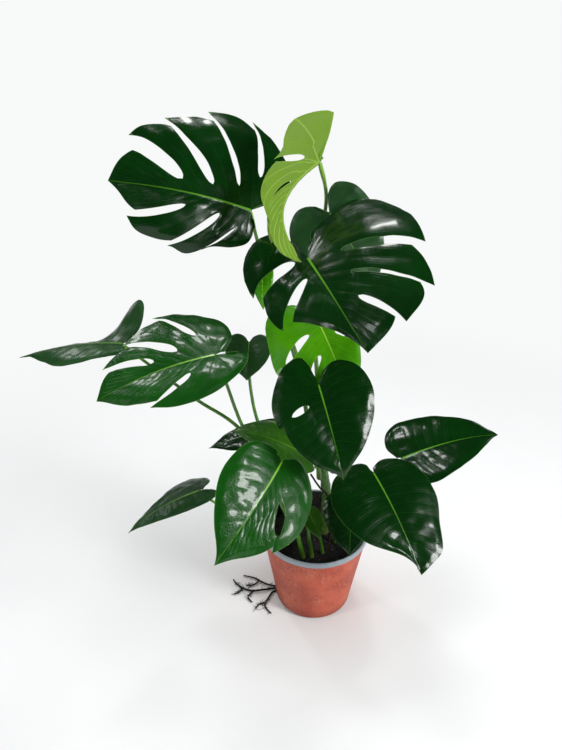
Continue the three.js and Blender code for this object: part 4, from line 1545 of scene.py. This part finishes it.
@dataclass(frozen=True)
class Studio:
    """A pale floor, soft light from the right and above, and a camera that looks down a little."""

    eye: Point = (-0.063, -0.800, 0.906)
    down: float = 27.75
    lens: float = 27.03
    floor_half: float = 14.0
    floor_fade: tuple[float, float] = (0.35, 1.6)
    sky_fill: float = 0.42
    sky_rays: Sequence[tuple[str, str, float]] = (
        ("Is Glossy Ray", "e8f0ff", 0.02), ("Is Camera Ray", "f8f9f9", 1.0),
    )
    lights: Sequence[Softbox] = field(default_factory=lambda: (
        Softbox("window", (1.7, -1.15, 1.35), (0.5, 0.9), 40),
        Softbox("ceiling", (-0.25, 0.1, 2.3), (1.2, 1.2), 16, mirrored=False),
        Softbox("lamp", (0.0, 1.1, 2.0), (0.35, 0.25), 6),
        Softbox("left_glow", (-1.5, -0.9, 1.9), (0.3, 0.9), 8),
        Softbox("back_fill", (-1.3, 1.6, 1.9), (0.3, 0.7), 8),
    ))

    def build(self) -> None:
        """Lay the floor, hang the lights and set the camera."""
        g = Graph("pale_floor")
        place = g.place()
        colour = g.blend(g.noise(place, 6, 3), srgb("f1f2f3"), srgb("ecedee"))
        matte = g.surface(Base_Color=colour, Roughness=0.9)
        distance = g.add("ShaderNodeVectorMath", {0: place}, operation="LENGTH").outputs["Value"]
        away = g.band(distance, *self.floor_fade)
        glow = g.add("ShaderNodeEmission", {"Color": srgb("f8f9f9"), "Strength": 1.0})
        shader = g.add("ShaderNodeMixShader", {0: away, 1: matte.outputs[0], 2: glow.outputs[0]})
        half = self.floor_half
        corners = np.array([(-half, -half, 0), (half, -half, 0), (half, half, 0), (-half, half, 0)])
        floor = make_mesh("pale_floor", corners, [(0, 1, 2, 3)], [g.done(shader)])
        for light in self.lights:
            light.hang()
        self.set_sky()
        scene = bpy.context.scene
        scene.view_settings.view_transform = "Standard"
        camera = bpy.data.cameras.new("camera")
        camera.lens = self.lens
        camera.sensor_fit = "AUTO"
        camera.clip_start = 0.01
        held = bpy.data.objects.new("camera", camera)
        held.location = self.eye
        held.rotation_euler = (math.radians(90 - self.down), 0, 0)
        bpy.context.collection.objects.link(held)
        scene.camera = held

    def add_sky(self, tree: bpy.types.NodeTree, code: str, strength: float) -> bpy.types.NodeSocket:
        """Add one even glow to the sky's nodes."""
        glow = tree.nodes.new("ShaderNodeBackground")
        glow.inputs["Color"].default_value = srgb(code)
        glow.inputs["Strength"].default_value = strength
        return glow.outputs[0]

    def set_sky(self) -> None:
        """Surround the plant with even pale light that gloss mirrors only faintly."""
        sky = bpy.data.worlds.new("studio")
        sky.use_nodes = True
        tree = sky.node_tree
        tree.nodes.clear()
        path = tree.nodes.new("ShaderNodeLightPath")
        shader = self.add_sky(tree, "f8f9f9", self.sky_fill)
        for ray, code, strength in self.sky_rays:
            mix = tree.nodes.new("ShaderNodeMixShader")
            tree.links.new(path.outputs[ray], mix.inputs[0])
            tree.links.new(shader, mix.inputs[1])
            tree.links.new(self.add_sky(tree, code, strength), mix.inputs[2])
            shader = mix.outputs[0]
        out = tree.nodes.new("ShaderNodeOutputWorld")
        tree.links.new(shader, out.inputs[0])
        bpy.context.scene.world = sky


FACES = {finish.slot: finish.faces() for finish in (DARK, MID, OLIVE, LIME, PALE, BACK)}


def main() -> None:
    """Build the plant from the pot up, then the studio."""
    logging.basicConfig(level=logging.INFO, format="%(name)s: %(message)s")
    Studio().build()
    Pot().build()
    Soil().build()
    Stem().build()
    root_skin = ROOT_SKIN.material()
    for root in ROOTS:
        root.build(root_skin)
    stalk_skin = STALK.material()
    for number, leaf in enumerate(LEAVES):
        Stalk(leaf).build(stalk_skin)
        Blade(leaf, number).build()


if __name__ == "__main__":
    main()
